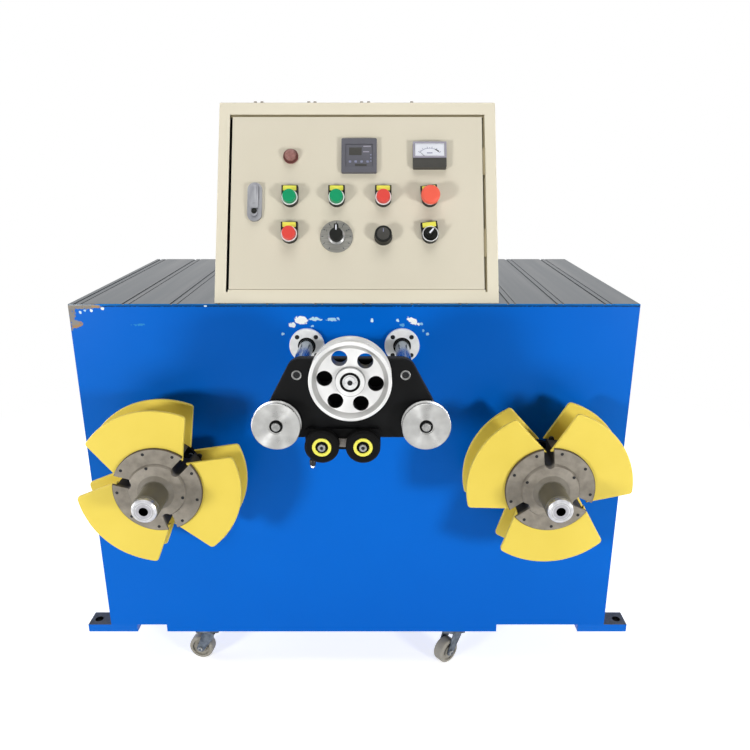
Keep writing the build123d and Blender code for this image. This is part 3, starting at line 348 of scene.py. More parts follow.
# pilot lamp lens: dark smoked red, mottled with pale pink as painted highlights on its facets
lampRed = moulded("smokedRedLens", "#5E2E2A", "#B98A82", 0.2, flowMm=5)
lampBrown = moulded("brownLampBezel", "#5B2F2C", "#6B3D38", 0.35, flowMm=6)
clearFrame = moulded("smokedAcrylic", "#A5A2AE", "#9895A3", 0.25)
# scale print: flat ink on the instruments
whitePlastic = moulded("whiteScalePrint", "#E8EAF1", "#E0E2EA", 0.45)
greyPrint = moulded("greyScalePrint", "#8F92A6", "#8083A0", 0.5)
darkPrint = moulded("darkScalePrint", "#33353C", "#3C3E46", 0.5)
# wheels of the castors: grey-beige nylon, dusty
castorTread = moulded("dustyNylon", "#8F8B80", "#A8A397", 0.6, flowMm=9, bump=0.3)
# press rollers, seals and the door's stop: black rubber
rollerRubber = moulded("pressRollerRubber", "#070707", "#0E0E0E", 0.7, flowMm=7, bump=0.3, shine=0.1)
print("plastics made")

nodeFinishes = {
    "front_plate": frontPaint, "back_panel": bluePaint, "floor_pan": bluePaint, "castor_rails": bluePaint,
    "top_plate": topSteel, "foot_plates": footPaint, "castor_plates": castorSteel, "console_box": beigePaint,
    "console_door": doorPaint, "door_hinges": jointShadeBeige, "door_lock": lockZinc, "rod_bushings": bushAluminium,
    "spindle_bearings": blackPaint, "guide_rods": hardChrome, "guide_plate": blackPaint, "roller_bracket": blackPaint,
    "guide_axles": brightSteel, "measuring_wheel": wheelAluminium, "pilot_lamp": lampRed, "counter": greyPlastic,
    "panel_meter": meterPlastic, "switch_holders": blackPlastic, "contact_blocks": blackPlastic,
    "dial_plate": dialMetal, "selector": blackPlastic, "pointer_knob": blackPlastic, "speed_knob": blackPlastic,
    "stop_mushroom": mushroomPlastic, "stop_button": redPlastic, "jog_button": redPlastic,
}
for side, sign in sides:
    nodeFinishes[side + "_side_panel"] = bluePaint
    nodeFinishes[side + "_start_button"] = greenPlastic
    nodeFinishes[side + "_drum"] = drumIron[side]
    nodeFinishes[side + "_spindle"] = noseSteel[side]
    nodeFinishes[side + "_pulley"] = pulleyAluminium[side]
    nodeFinishes[side + "_roller"] = rollerRubber
    for layer in ("front", "rear"):
        nodeFinishes[f"{side}_{layer}_wings"] = yellowPaint
    for end in ("front", "back"):
        nodeFinishes[f"{side}_{end}_castor_fork"] = castorSteel
        nodeFinishes[f"{side}_{end}_castor_wheel"] = castorTread
for name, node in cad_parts.items():
    node.data.materials.clear()
    node.data.materials.append(nodeFinishes[name])
print("finishes on", len(nodeFinishes), "nodes")


# joins a finished shape into a piece's bmesh at its place
def setInto(target, shape, place):
    bmesh.ops.remove_doubles(shape, verts=shape.verts, dist=0.005 * mm)
    bmesh.ops.recalc_face_normals(shape, faces=shape.faces)
    shape.transform(place)
    carrier = bpy.data.meshes.new("carrier")
    shape.to_mesh(carrier)
    shape.free()
    target.from_mesh(carrier)
    bpy.data.meshes.remove(carrier)


def makePiece(name, bm, body, finish, sharpDeg=35):
    mesh = bpy.data.meshes.new(name)
    bm.to_mesh(mesh)
    bm.free()
    mesh.materials.append(finish)
    mesh.shade_smooth()
    mesh.set_sharp_from_angle(angle=radians(sharpDeg))
    piece = bpy.data.objects.new(name, mesh)
    scene.collection.objects.link(piece)
    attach(piece, body)


# one piece from pairs of a shape and its place
def addPiece(name, shapes, body, finish):
    bm = bmesh.new()
    for shape, place in shapes:
        setInto(bm, shape, place)
    makePiece(name, bm, body, finish)


# turned shape: a half profile of (radius, height) goes once round the z axis
def turned(profile, closed=False, steps=40):
    bm = bmesh.new()
    verts = [bm.verts.new((r * mm, 0, h * mm)) for r, h in profile]
    edges = [bm.edges.new(pair) for pair in zip(verts, verts[1:])]
    if closed:
        edges.append(bm.edges.new((verts[-1], verts[0])))
    bmesh.ops.spin(bm, geom=verts + edges, axis=(0, 0, 1), cent=(0, 0, 0), dvec=(0, 0, 0),
                   angle=2 * pi, steps=steps, use_merge=True)
    return bm


# flat ring with softened edges on its upper side
def ring(inner, outer, low, high, soft=0.4, steps=40):
    return turned([(inner, low), (outer, low), (outer, high - soft), (outer - soft, high),
                   (inner + soft, high), (inner, high - soft)], closed=True, steps=steps)


# screw head with a hexagon recess, seat at z = 0
def socketHead(radius, height, key, soft=0.6, steps=24):
    recessDepth = height * 0.6
    bm = bmesh.new()
    bmesh.ops.create_circle(bm, segments=steps, radius=(radius - soft) * mm)
    lid = bm.edges[:]
    bmesh.ops.create_circle(bm, segments=6, radius=key * mm)
    recess = [e for e in bm.edges if e not in lid]
    bmesh.ops.translate(bm, verts=bm.verts, vec=(0, 0, height * mm))
    bmesh.ops.bridge_loops(bm, edges=lid + recess)
    # the recess goes down; the lid grows over its softened edge and then down to the seat
    walls = ((recess, ((1.0, -recessDepth),)), (lid, ((radius / (radius - soft), -soft), (1.0, soft - height))))
    for loop, moves in walls:
        for grow, drop in moves:
            grown = bmesh.ops.extrude_edge_only(bm, edges=loop)["geom"]
            fresh = [g for g in grown if isinstance(g, bmesh.types.BMVert)]
            loop = [g for g in grown if isinstance(g, bmesh.types.BMEdge) and all(v in fresh for v in g.verts)]
            bmesh.ops.scale(bm, verts=fresh, vec=(grow, grow, 1))
            bmesh.ops.translate(bm, verts=fresh, vec=(0, 0, drop * mm))
        bmesh.ops.contextual_create(bm, geom=loop)
    return bm


# flat rectangle in the xy plane
def sheetOf(width, height):
    bm = bmesh.new()
    bmesh.ops.create_grid(bm, x_segments=1, y_segments=1, size=0.5)
    bmesh.ops.scale(bm, verts=bm.verts, vec=(width * mm, height * mm, 1))
    return bm


# gives a flat shape its thickness
def thicken(bm, thick):
    grown = bmesh.ops.extrude_face_region(bm, geom=bm.faces[:])["geom"]
    fresh = [g for g in grown if isinstance(g, bmesh.types.BMVert)]
    bmesh.ops.translate(bm, verts=fresh, vec=(0, 0, thick * mm))
    return bm


# plate with rounded corners and a softened upper edge, seat at z = 0
def softPlate(width, height, thick, corner=0.0, soft=0.0):
    bm = sheetOf(width, height)
    if corner:
        bmesh.ops.bevel(bm, geom=bm.verts[:], offset=corner * mm, offset_type="OFFSET", affect="VERTICES",
                        segments=5, profile=0.5, material=-1)
    thicken(bm, thick)
    if soft:
        rim = [e for e in bm.edges if all(v.co.z > thick * mm / 2 for v in e.verts)]
        bmesh.ops.bevel(bm, geom=rim, offset=soft * mm, offset_type="OFFSET", affect="EDGES",
                        segments=3, profile=0.5, material=-1)
    return bm


# flat rectangular frame: a plate with its middle left open
def frameBand(width, height, band, thick):
    bm = sheetOf(width, height)
    middle = bm.faces[:]
    bmesh.ops.inset_region(bm, faces=middle, thickness=band * mm, use_even_offset=True, use_boundary=True)
    bmesh.ops.delete(bm, geom=middle, context="FACES")
    return thicken(bm, thick)


# strip along an arc, from one angle to another, as thick as given
def arcStrip(inner, outer, start, stop, thick, steps=24):
    bm = bmesh.new()
    a = radians(start)
    verts = [bm.verts.new((r * mm * cos(a), r * mm * sin(a), 0)) for r in (inner, outer)]
    edge = bm.edges.new(verts)
    bmesh.ops.spin(bm, geom=verts + [edge], axis=(0, 0, 1), cent=(0, 0, 0), dvec=(0, 0, 0),
                   angle=radians(stop - start), steps=steps)
    return thicken(bm, thick)


# places: a shift in mm and a turn in degrees, then on the sloped console face
# and on anything that looks to the front, with circles round a point of either
def shift(x, y, z):
    return Matrix.Translation((x * mm, y * mm, z * mm))


def turnBy(degrees, axis="Z"):
    return Matrix.Rotation(radians(degrees), 4, axis)


console = {"x": 5, "y": -178, "z": 907, "lean": 182, "rise": 405}
slope = atan2(console["lean"], console["rise"])
faceTurn = shift(console["x"], console["y"], console["z"]) @ Matrix.Rotation(pi / 2 - slope, 4, "X")
frontTurn = Matrix.Rotation(pi / 2, 4, "X")


def onFace(x, s, n=0.0, turn=0.0):
    return faceTurn @ shift(x, s, n) @ turnBy(turn)


def onFront(x, y, z, turn=0.0):
    return shift(x, y, z) @ frontTurn @ turnBy(turn)


def roundFace(x, s, n, circle, angle, turn=0.0):
    a = radians(angle)
    return onFace(x + circle * cos(a), s + circle * sin(a), n, turn)


def roundFront(x, y, z, circle, angle, turn=0.0):
    a = radians(angle)
    return onFront(x + circle * cos(a), y, z + circle * sin(a), turn)


# winding heads: countersunk screws round the drum face, one bolt at the corner of each rear wing;
# screws and bolts are head radius, height, key and softened edge
headLook = {"x": 405, "z": 546, "rimFront": -327, "stepFront": -334.1, "rimCircle": 83.5, "stepCircle": 55,
            "stepLean": 1, "spread": 42, "screw": (3.3, 0.5, 1.6, 0.2), "rearWing": -253,
            "wingBolt": (5.5, 4, 2.8), "wingCircle": 86, "wingTurn": 46, "slots": 3,
            "firstTurn": {"left": 105.5, "right": 35.5}}
for side, sign in sides:
    hx, hz = sign * headLook["x"], headLook["z"]
    screws, bolts = [], []
    for i in range(headLook["slots"]):
        middle = headLook["firstTurn"][side] + 360 / headLook["slots"] * i
        spots = [(headLook["rimCircle"], lean * headLook["spread"], headLook["rimFront"]) for lean in (-1, 0, 1)]
        spots.append((headLook["stepCircle"], headLook["stepLean"], headLook["stepFront"]))
        for circle, lean, front in spots:
            screws.append((socketHead(*headLook["screw"]), roundFront(hx, front, hz, circle, middle + lean, middle)))
        bolts.append((socketHead(*headLook["wingBolt"]), roundFront(
            hx, headLook["rearWing"], hz, headLook["wingCircle"], middle + headLook["wingTurn"], middle)))
    addPiece(side + "DrumScrews", screws, side + "_head", blackSteel)
    addPiece(side + "WingBolts", bolts, side + "_head", blackSteel)
print("head screws made")

# wire guide: screws and a seal in each rod bushing, a washer and a screw at each rod's end
guideLook = {"rodX": 101, "rodZ": 818, "flangeFront": -196, "flangeCircle": 28, "flangeTurns": (45, 135, 225, 315),
             "flangeScrew": (4.8, 0.8, 2.4, 0.3), "seal": (15.6, 18.8, -2.8, 0.6, 0.4), "plateFront": -393,
             "endDrop": 1, "endScrew": (6.4, 0.7, 3.2, 0.3),
             "washer": [(6.4, 0), (9.6, 0), (9.2, 1.5), (8.4, 2.0), (7.6, 1.6), (6.4, 0.4)]}
bushScrews, rodSeals, rodWashers, rodScrews = [], [], [], []
for side, sign in sides:
    rodX, rodZ = sign * guideLook["rodX"], guideLook["rodZ"]
    for turn in guideLook["flangeTurns"]:
        bushScrews.append((socketHead(*guideLook["flangeScrew"]), roundFront(
            rodX, guideLook["flangeFront"], rodZ, guideLook["flangeCircle"], turn)))
    rodSeals.append((ring(*guideLook["seal"]), onFront(rodX, guideLook["flangeFront"], rodZ)))
    rodEnd = onFront(rodX, guideLook["plateFront"], rodZ - guideLook["endDrop"])
    rodWashers.append((turned(guideLook["washer"], closed=True), rodEnd))
    rodScrews.append((socketHead(*guideLook["endScrew"]), rodEnd))
addPiece("bushingScrews", bushScrews, "base", blackSteel)
addPiece("rodSeals", rodSeals, "base", rollerRubber)
addPiece("rodEndWashers", rodWashers, "carriage", boltSteel)
addPiece("rodEndScrews", rodScrews, "carriage", blackSteel)

# hub of the measuring wheel: bearing race, dark seal and the axle end with its centre drilling, a near black piece
# that paints the shade in it;
# rings are inner and outer radius, low, high and softened edge
wheelLook = {"z": 819, "front": -442, "axleFront": -444, "race": (11.4, 13.8, 0, 0.7, 0.3),
             "seal": (13.8, 18.4, 0, 0.6, 0.2),
             "axleEnd": [(0, 0), (10.6, 0), (10.6, 0.8), (10.0, 1.4), (6.8, 1.4), (6.4, 1.0), (4.7, 1.0), (0, 0.2)],
             "drilling": [(0, 0.4), (4.4, 0.7), (4.8, 1.5), (4.2, 1.5), (0, 0.8)]}
hubFace = onFront(0, wheelLook["front"], wheelLook["z"])
axleFace = onFront(0, wheelLook["axleFront"], wheelLook["z"])
addPiece("wheelBearingRace", [(ring(*wheelLook["race"]), hubFace)], "measuring_wheel", brightSteel)
addPiece("wheelBearingSeal", [(ring(*wheelLook["seal"]), hubFace)], "measuring_wheel", rollerRubber)
addPiece("wheelAxleEnd", [(turned(wheelLook["axleEnd"]), axleFace)], "carriage", brightSteel)
addPiece("wheelAxleDrilling", [(turned(wheelLook["drilling"], closed=True, steps=20), axleFace)],
         "carriage", blackSteel)

# pulleys: a seal in the dish and the axle's bolt
pulleyLook = {"x": 140, "z": 724, "dishFront": -417, "axleFront": -421, "seal": (8.5, 12.6, 0, 1.4, 0.4),
              "bolt": [(0, 0), (7.9, 0), (7.9, 0.9), (7.1, 1.6), (4.6, 1.6), (4.2, 1.1), (0, 0.8)]}
for side, sign in sides:
    dish = onFront(sign * pulleyLook["x"], pulleyLook["dishFront"], pulleyLook["z"])
    axle = onFront(sign * pulleyLook["x"], pulleyLook["axleFront"], pulleyLook["z"])
    addPiece(side + "PulleySeal", [(ring(*pulleyLook["seal"]), dish)], side + "_pulley", rollerRubber)
    addPiece(side + "PulleyBolt", [(turned(pulleyLook["bolt"]), axle)], "carriage", boltSteel)

# press rollers: yellow hub, and a bolt with its six-sided socket, whose near black floor is painted shade
rollerLook = {"x": {"left": -55, "right": 22}, "z": 686, "sink": -425, "axleFront": -429,
              "hub": [(12, 0), (18.4, 0), (18.4, 1.6), (17.6, 2.6), (12.8, 2.6), (12, 1.8)],
              "bolt": (3.4, 7, 0, 2.4, 0.7), "socket": [(0, 0), (3.4, 0), (3.4, 1.1), (0, 0.7)]}
for side, x in rollerLook["x"].items():
    sunk = onFront(x, rollerLook["sink"], rollerLook["z"])
    axle = onFront(x, rollerLook["axleFront"], rollerLook["z"])
    addPiece(side + "RollerHub", [(turned(rollerLook["hub"], closed=True), sunk)],
             side + "_roller", yellowPlastic)
    addPiece(side + "RollerBolt", [(ring(*rollerLook["bolt"]), axle)], "carriage", boltSteel)
    addPiece(side + "RollerSocket", [(turned(rollerLook["socket"], steps=6), axle)],
             "carriage", blackSteel)

# adjusting stud under the left roller: slim shank up to the bracket, dark round knob, bright tip
studLook = {"x": -75.5, "y": -397, "foot": 636, "steps": 24,
            "shank": [(0, 0), (4.8, 0), (6, 2.4), (6, 10.5), (4.5, 13.2), (3, 14), (3, 35), (0, 35)],
            "tip": [(0, -6.4), (1.6, -6), (3.2, -4.4), (4.4, -2.4), (3.52, 0), (0, 0)]}
studFoot = shift(studLook["x"], studLook["y"], studLook["foot"])
addPiece("adjusterStud", [(turned(studLook["shank"], steps=studLook["steps"]), studFoot)],
         "carriage", blackSteel)
addPiece("adjusterTip", [(turned(studLook["tip"], steps=studLook["steps"]), studFoot)],
         "carriage", brightSteel)
# steel guide block between the rollers; plates are width, height, thickness, corner and softened edge
blockLook = {"plate": (16, 17, 4, 1.5, 0.8), "x": -16.4, "front": -401, "z": 686}
addPiece("wireBlock", [(softPlate(*blockLook["plate"]), onFront(blockLook["x"], blockLook["front"], blockLook["z"]))],
         "carriage", dullSteel)
print("guide details made")

# spindle bearings: six screws in each housing
bearingLook = {"x": 405, "z": 546, "front": -200, "circle": 46, "screw": (5, 3.4, 2.5),
               "turns": (30, 90, 150, 210, 270, 330)}
addPiece("bearingScrews", [
    (socketHead(*bearingLook["screw"]), roundFront(
        sign * bearingLook["x"], bearingLook["front"], bearingLook["z"], bearingLook["circle"], turn))
    for side, sign in sides for turn in bearingLook["turns"]], "base", castorSteel)

# console: a yellow label and a bright ring on each switch holder; holders are column, row,
# turn and the clear radius inside the ring
panelLook = {"columns": (-142.61, -43.2, 56.21, 155.63), "rowLow": 155, "rowMid": 235, "rowHigh": 321,
             "drop": 9, "holder": 14, "label": (28.4, 10.6, 1.2, 1.5, 0.4), "labelRise": 19.9,
             "ringOuter": 17.1, "ringRise": 1.6, "ringSoft": 0.6,
             "holders": [(0, "rowMid", 0, 14.4), (1, "rowMid", 0, 14.4), (2, "rowMid", 0, 14.4),
                         (0, "rowLow", 0, 14.4), (3, "rowMid", 7, 12.5), (3, "rowLow", 7, 15)]}
columns = panelLook["columns"]
labels, rings = [], []
for column, row, turn, clear in panelLook["holders"]:
    bore = onFace(columns[column], panelLook[row] - panelLook["drop"], panelLook["holder"], turn)
    labels.append((softPlate(*panelLook["label"]), bore @ shift(0, panelLook["labelRise"], 0)))
    rings.append((ring(clear, panelLook["ringOuter"], 0, panelLook["ringRise"], panelLook["ringSoft"]), bore))
addPiece("switchLabels", labels, "door", yellowPlastic)
addPiece("switchRings", rings, "door", bushAluminium)

# white mark on the selector
selectorLook = {"mark": (3.4, 13, 0.5, 0.8), "top": 30.3, "turn": -40, "rise": 2}
selectorTop = onFace(columns[3], panelLook["rowLow"] - panelLook["drop"], selectorLook["top"], selectorLook["turn"])
addPiece("selectorMark", [(softPlate(*selectorLook["mark"]), selectorTop @ shift(0, selectorLook["rise"], 0))],
         "selector", whitePlastic)

# rotary switch: pointer line, metal skirt, ticks and digits on the scale plate
dialLook = {"x": -43.2, "s": 144, "plate": 2.5, "knobTop": 22.8, "line": (2.6, 11, 0.5, 0.6), "lineRise": 13.5,
            "skirt": [(13.2, 0.5), (18.2, 0.5), (18.2, 2.4), (14.4, 5.2), (13.2, 5.2)],
            "tick": (1.4, 4.2, 0.15), "tickCircle": 30, "tickTurns": range(-150, 151, 30),
            "digits": {-60: "1", -30: "2", 0: "0", 30: "3", 60: "4"}, "digitCircle": 24.5, "digitSize": 6.5,
            "digitThick": 0.08, "digitRise": 0.1}
dialX, dialS, dialTop = dialLook["x"], dialLook["s"], dialLook["plate"]
pointerTop = onFace(dialX, dialS + dialLook["lineRise"], dialLook["knobTop"])
addPiece("pointerLine", [(softPlate(*dialLook["line"]), pointerTop)], "pointer_knob", whitePlastic)
addPiece("knobSkirt", [(turned(dialLook["skirt"], closed=True), onFace(dialX, dialS, dialTop))],
         "pointer_knob", boltSteel)
addPiece("dialTicks", [
    (softPlate(*dialLook["tick"]), roundFace(dialX, dialS, dialTop, dialLook["tickCircle"], 90 - turn, -turn))
    for turn in dialLook["tickTurns"]], "door", darkPrint)
digits = bmesh.new()
for turn, word in dialLook["digits"].items():
    letter = bpy.data.curves.new("digit", "FONT")
    letter.body = word
    letter.size = dialLook["digitSize"] * mm
    letter.align_x = "CENTER"
    letter.align_y = "CENTER"
    letter.extrude = dialLook["digitThick"] * mm
    letterObject = bpy.data.objects.new("digit", letter)
    scene.collection.objects.link(letterObject)
    bpy.context.view_layer.update()
    flat = bpy.data.meshes.new_from_object(letterObject.evaluated_get(bpy.context.evaluated_depsgraph_get()))
    bpy.data.objects.remove(letterObject)
    flat.transform(roundFace(dialX, dialS, dialTop + dialLook["digitRise"], dialLook["digitCircle"], 90 - turn))
    digits.from_mesh(flat)
    bpy.data.meshes.remove(flat)
makePiece("dialDigits", digits, "door", darkPrint)

# speed knob: ribs round the skirt and a dark cap with a grey line
speedLook = {"x": 56.21, "s": 144, "root": 19.2, "top": 22.3, "ribs": 30, "rib": (1.4, 2.2, 17, 0.5, 0.5),
             "ribSeat": 1.5, "ribSink": 0.9, "ribLean": 4,
             "cap": [(0, 0), (13.2, 0), (13.2, 0.5), (12.4, 1.0), (0, 1.3)],
             "line": (1.6, 7, 0.4, 0.5), "lineRise": 7, "lineSeat": 1.05}
speedX, speedS = speedLook["x"], speedLook["s"]
ribPlace = shift(0, speedLook["root"] - speedLook["ribSink"], 0) @ turnBy(speedLook["ribLean"], "X")
addPiece("speedKnobRibs", [
    (softPlate(*speedLook["rib"]),
     onFace(speedX, speedS, speedLook["ribSeat"], 360 / speedLook["ribs"] * i) @ ribPlace)
    for i in range(speedLook["ribs"])], "speed_knob", blackPlastic)
addPiece("speedKnobCap", [(turned(speedLook["cap"]), onFace(speedX, speedS, speedLook["top"]))],
         "speed_knob", meterPlastic)
linePlace = onFace(speedX, speedS + speedLook["lineRise"], speedLook["top"] + speedLook["lineSeat"])
addPiece("speedKnobLine", [(softPlate(*speedLook["line"]), linePlace)], "speed_knob", greyPrint)

# pilot lamp bezel
pilotLook = {"bezel": [(12.8, 3.5), (16.4, 3.5), (16.4, 4.6), (15.4, 6), (13.4, 6.4), (12.8, 6)]}
addPiece("lampBezel", [(turned(pilotLook["bezel"], closed=True), onFace(columns[0], panelLook["rowHigh"]))],
         "door", lampBrown)

# counter: grey face, dark windows, light marks and keys, each with its place on the face
counterLook = {"x": 4.48, "s": 321, "floor": 6.5, "face": (57.4, 49.4, 1.4, 1, 0.4),
               "windows": [((27, 17, 0.5, 0.8, 0.2), -8, 9), ((25, 4.5, 0.4, 0.6), 3.7, -21.6)],
               "marks": [((16, 2.4, 0.3, 0.6), 17, 20), ((13, 2.4, 0.3, 0.6), 15, 8)],
               "bigKey": (5.4, 4.6, 0.9, 1, 0.3), "bigKeys": ((-19.4, -14), (-7.4, -14), (5.4, -14), (18.2, -14)),
               "smallKey": (3.6, 2.6, 0.9, 1, 0.3), "smallKeys": ((25, 1), (25, -6), (25, -13))}
counterTop = counterLook["floor"] + counterLook["face"][2]
counterKeys = [(counterLook["bigKey"], x, s) for x, s in counterLook["bigKeys"]]
counterKeys += [(counterLook["smallKey"], x, s) for x, s in counterLook["smallKeys"]]


def onCounter(plates):
    return [(softPlate(*plate), onFace(counterLook["x"] + x, counterLook["s"] + s, counterTop))
            for plate, x, s in plates]


addPiece("counterFace", [(softPlate(*counterLook["face"]), onFace(
    counterLook["x"], counterLook["s"], counterLook["floor"]))], "door", greyPlastic)
addPiece("counterWindow", onCounter(counterLook["windows"]), "door", meterPlastic)
addPiece("counterMarks", onCounter(counterLook["marks"]), "door", clearFrame)
addPiece("counterKeys", onCounter(counterKeys), "door", greyPrint)

# panel meter: white card, arc, ticks, a plain caption bar, needle and the clear cover's edge
meterLook = {"x": 155.63, "s": 321, "rise": 11.5, "floor": 10, "top": 12, "card": (63.4, 30.4, 1.2, 0.6),
             "pivot": -25.5, "arc": 28, "arcWide": 0.8, "half": 48, "print": 0.12, "ticks": 10, "tickWide": 1.1,
             "tickTall": (4.4, 2.8), "caption": (12, 2.2, 0.12, 0.6), "captionRise": 4,
             "band": (-0.6, 1.8, 46, 66, 0.16), "needle": (0.6, 15, 0.3), "needleTurn": 46, "needleReach": 22,
             "needleRise": 0.3, "cover": (72, 36, 3.8, 0.7), "coverRise": 11}
meterX, meterS, arc, half = meterLook["x"], meterLook["s"], meterLook["arc"], meterLook["half"]
cardFloor = onFace(meterX, meterS + meterLook["rise"], meterLook["floor"])
cardTop = meterLook["floor"] + meterLook["card"][2]
pivot = onFace(meterX, meterS + meterLook["rise"] + meterLook["pivot"], cardTop)
addPiece("meterCard", [(softPlate(*meterLook["card"]), cardFloor)], "door", whitePlastic)
scale = [(arcStrip(arc, arc + meterLook["arcWide"], 90 - half, 90 + half, meterLook["print"]), pivot)]
for i in range(meterLook["ticks"] + 1):
    tall = meterLook["tickTall"][i % 2]
    scale.append((softPlate(meterLook["tickWide"], tall, meterLook["print"]),
                  pivot @ turnBy(-half + 2 * half / meterLook["ticks"] * i) @ shift(0, arc + tall / 2, 0)))
scale.append((softPlate(*meterLook["caption"]), onFace(meterX, meterS + meterLook["captionRise"], cardTop)))
addPiece("meterScale", scale, "door", greyPrint)
inner, outer, start, stop, thick = meterLook["band"]
needlePlace = pivot @ turnBy(meterLook["needleTurn"]) @ shift(0, meterLook["needleReach"], meterLook["needleRise"])
addPiece("meterNeedle", [(arcStrip(arc + inner, arc + outer, start, stop, thick), pivot),
                         (softPlate(*meterLook["needle"]), needlePlace)], "door", darkPrint)
addPiece("meterCover", [(frameBand(*meterLook["cover"]), onFace(
    meterX, meterS + meterLook["coverRise"], meterLook["top"]))], "door", clearFrame)

# door lock: keyhole plug with its keyway, a near black strip of painted shade in the slot, and a rib down the paddle
lockLook = {"x": -218, "s": 219, "keyTop": 11, "keyDrop": 22, "keyway": (7, 1.4, 0.3, 0.4),
            "plug": [(0, 0), (5.9, 0), (5.9, 0.8), (5.3, 1.4), (0, 1.4)], "plugRise": 1.4,
            "rib": (9, 40, 1, 3, 0.6), "ribRise": 14, "paddleTop": 13}
lockX, keyS, keyTop = lockLook["x"], lockLook["s"] - lockLook["keyDrop"], lockLook["keyTop"]
addPiece("lockPlug", [(turned(lockLook["plug"]), onFace(lockX, keyS, keyTop))], "door", blackPlastic)
addPiece("lockKeyway", [(softPlate(*lockLook["keyway"]), onFace(lockX, keyS, keyTop + lockLook["plugRise"]))],
         "door", blackSteel)
addPiece("lockPaddleRib", [(softPlate(*lockLook["rib"]), onFace(
    lockX, lockLook["s"] + lockLook["ribRise"], lockLook["paddleTop"]))], "door", lockZinc)

# joint round the door: a dark rubber stop behind its top, bottom and lock side, strips of the darkened beige along
# the top and the hinge side, and a clean sill; the stop and the strips paint the shade in the joint, so that it is
# widest and darkest at the lock
sealLook = {"width": 552, "low": 24, "high": 417, "depth": 20, "right": 276, "thick": 2, "band": 14, "inset": 5,
            "short": 6, "stopCorner": 0.5, "beadCorner": 0.4, "topBead": (5.2, 2.4, 6), "sideBead": (3.4, 1.5, 5),
            "sill": (5.4, 2.5, 3), "sillShort": 8}
sealTall = sealLook["high"] - sealLook["low"]
sealMiddle = (sealLook["high"] + sealLook["low"]) / 2
sealWide, band, inset = sealLook["width"], sealLook["band"], sealLook["inset"]


def doorStrip(wide, tall, corner, x, s, depth):
    return softPlate(wide, tall, sealLook["thick"], corner), onFace(x, s, -depth)


def stopStrip(wide, tall, x, s):
    return doorStrip(wide, tall, sealLook["stopCorner"], x, s, sealLook["depth"])


addPiece("doorStop", [
    stopStrip(sealWide, band, 0, sealMiddle + (-sealTall / 2 + inset)),
    stopStrip(sealWide, band, 0, sealMiddle + (sealTall / 2 - inset)),
    stopStrip(band, sealTall - sealLook["short"], -sealWide / 2 + inset, sealMiddle)],
    "base", rollerRubber)
# beads: width, distance from the opening's edge, depth
topWide, topInset, topDepth = sealLook["topBead"]
sideWide, sideInset, sideDepth = sealLook["sideBead"]
sillWide, sillInset, sillDepth = sealLook["sill"]
corner = sealLook["beadCorner"]
addPiece("doorBeads", [
    doorStrip(sealWide, topWide, corner, 0, sealLook["high"] - topInset, topDepth),
    doorStrip(sideWide, sealTall, corner, sealLook["right"] - sideInset, sealMiddle, sideDepth),
    stopStrip(band, sealTall - sealLook["short"], sealLook["right"] - inset, sealMiddle)],
    "base", jointShadeBeige)
addPiece("doorSill", [
    doorStrip(sealWide - sealLook["sillShort"], sillWide, corner, 0, sealLook["low"] + sillInset, sillDepth)],
    "base", beigePaint)

# small bolts with washers on top of the console, near its front edge, in pairs
lidLook = {"x": (-218.5, -204, -101.5, -88, 14, 29.4, 123.8), "y": 16, "z": 1312, "washer": (2, 4.6, 0, 0.8, 0.2, 20),
           "washerTop": 0.8, "bolt": (3.2, 2.6, 1.5, 0.5, 16)}
lidBolts = []
for x in lidLook["x"]:
    top = shift(x, lidLook["y"], lidLook["z"])
    lidBolts.append((ring(*lidLook["washer"]), top))
    lidBolts.append((socketHead(*lidLook["bolt"]), top @ shift(0, 0, lidLook["washerTop"])))
addPiece("consoleLidBolts", lidBolts, "base", dullSteel)
print("console details made")

# castors: axle nuts on both legs of each fork, four bolts under each plate; a castor is x, y and swivel
castorLook = {"castors": {"left_front": (-368, -158, 172), "right_front": (235, -158, 220),
                          "left_back": (-368, 416, 196), "right_back": (235, 416, 205)},
              "trail": 22, "axleZ": 30, "legOuter": 18, "nut": [(4, 0), (6.5, 0), (6.5, 3.2), (5.5, 4), (4, 4)],
              "bolt": (4.5, 3, 2.2), "boltSpots": ((-22, -22), (-22, 22), (22, -22), (22, 22)), "plateZ": 88}
trail = castorLook["trail"]
for name, (x, y, turn) in castorLook["castors"].items():
    a = radians(turn)
    axle = shift(x + trail * cos(a), y + trail * sin(a), castorLook["axleZ"]) @ turnBy(turn)
    addPiece(name + "CastorNuts", [
        (turned(castorLook["nut"], closed=True, steps=6),
         axle @ turnBy(way, "X") @ shift(0, 0, castorLook["legOuter"]))
        for way in (-90, 90)], name + "_castor_fork", boltSteel)
addPiece("castorPlateBolts", [
    (socketHead(*castorLook["bolt"]), shift(x + dx, y + dy, castorLook["plateZ"]) @ turnBy(180, "X"))
    for x, y, turn in castorLook["castors"].values() for dx, dy in castorLook["boltSpots"]],
    "base", castorSteel)
print("castor details made")


# 1 for what looks at the floor and the backdrop, straight or in a mirror, 0 for the light they give
def seenShare(tree):
    paths = addNode(tree, "LightPath").outputs
    seen = addNode(tree, "Math", {0: paths["Is Camera Ray"], 1: paths["Is Glossy Ray"]}, maximum)
    return addNode(tree, "Math", {0: seen, 1: paths["Is Transmission Ray"]}, maximum)


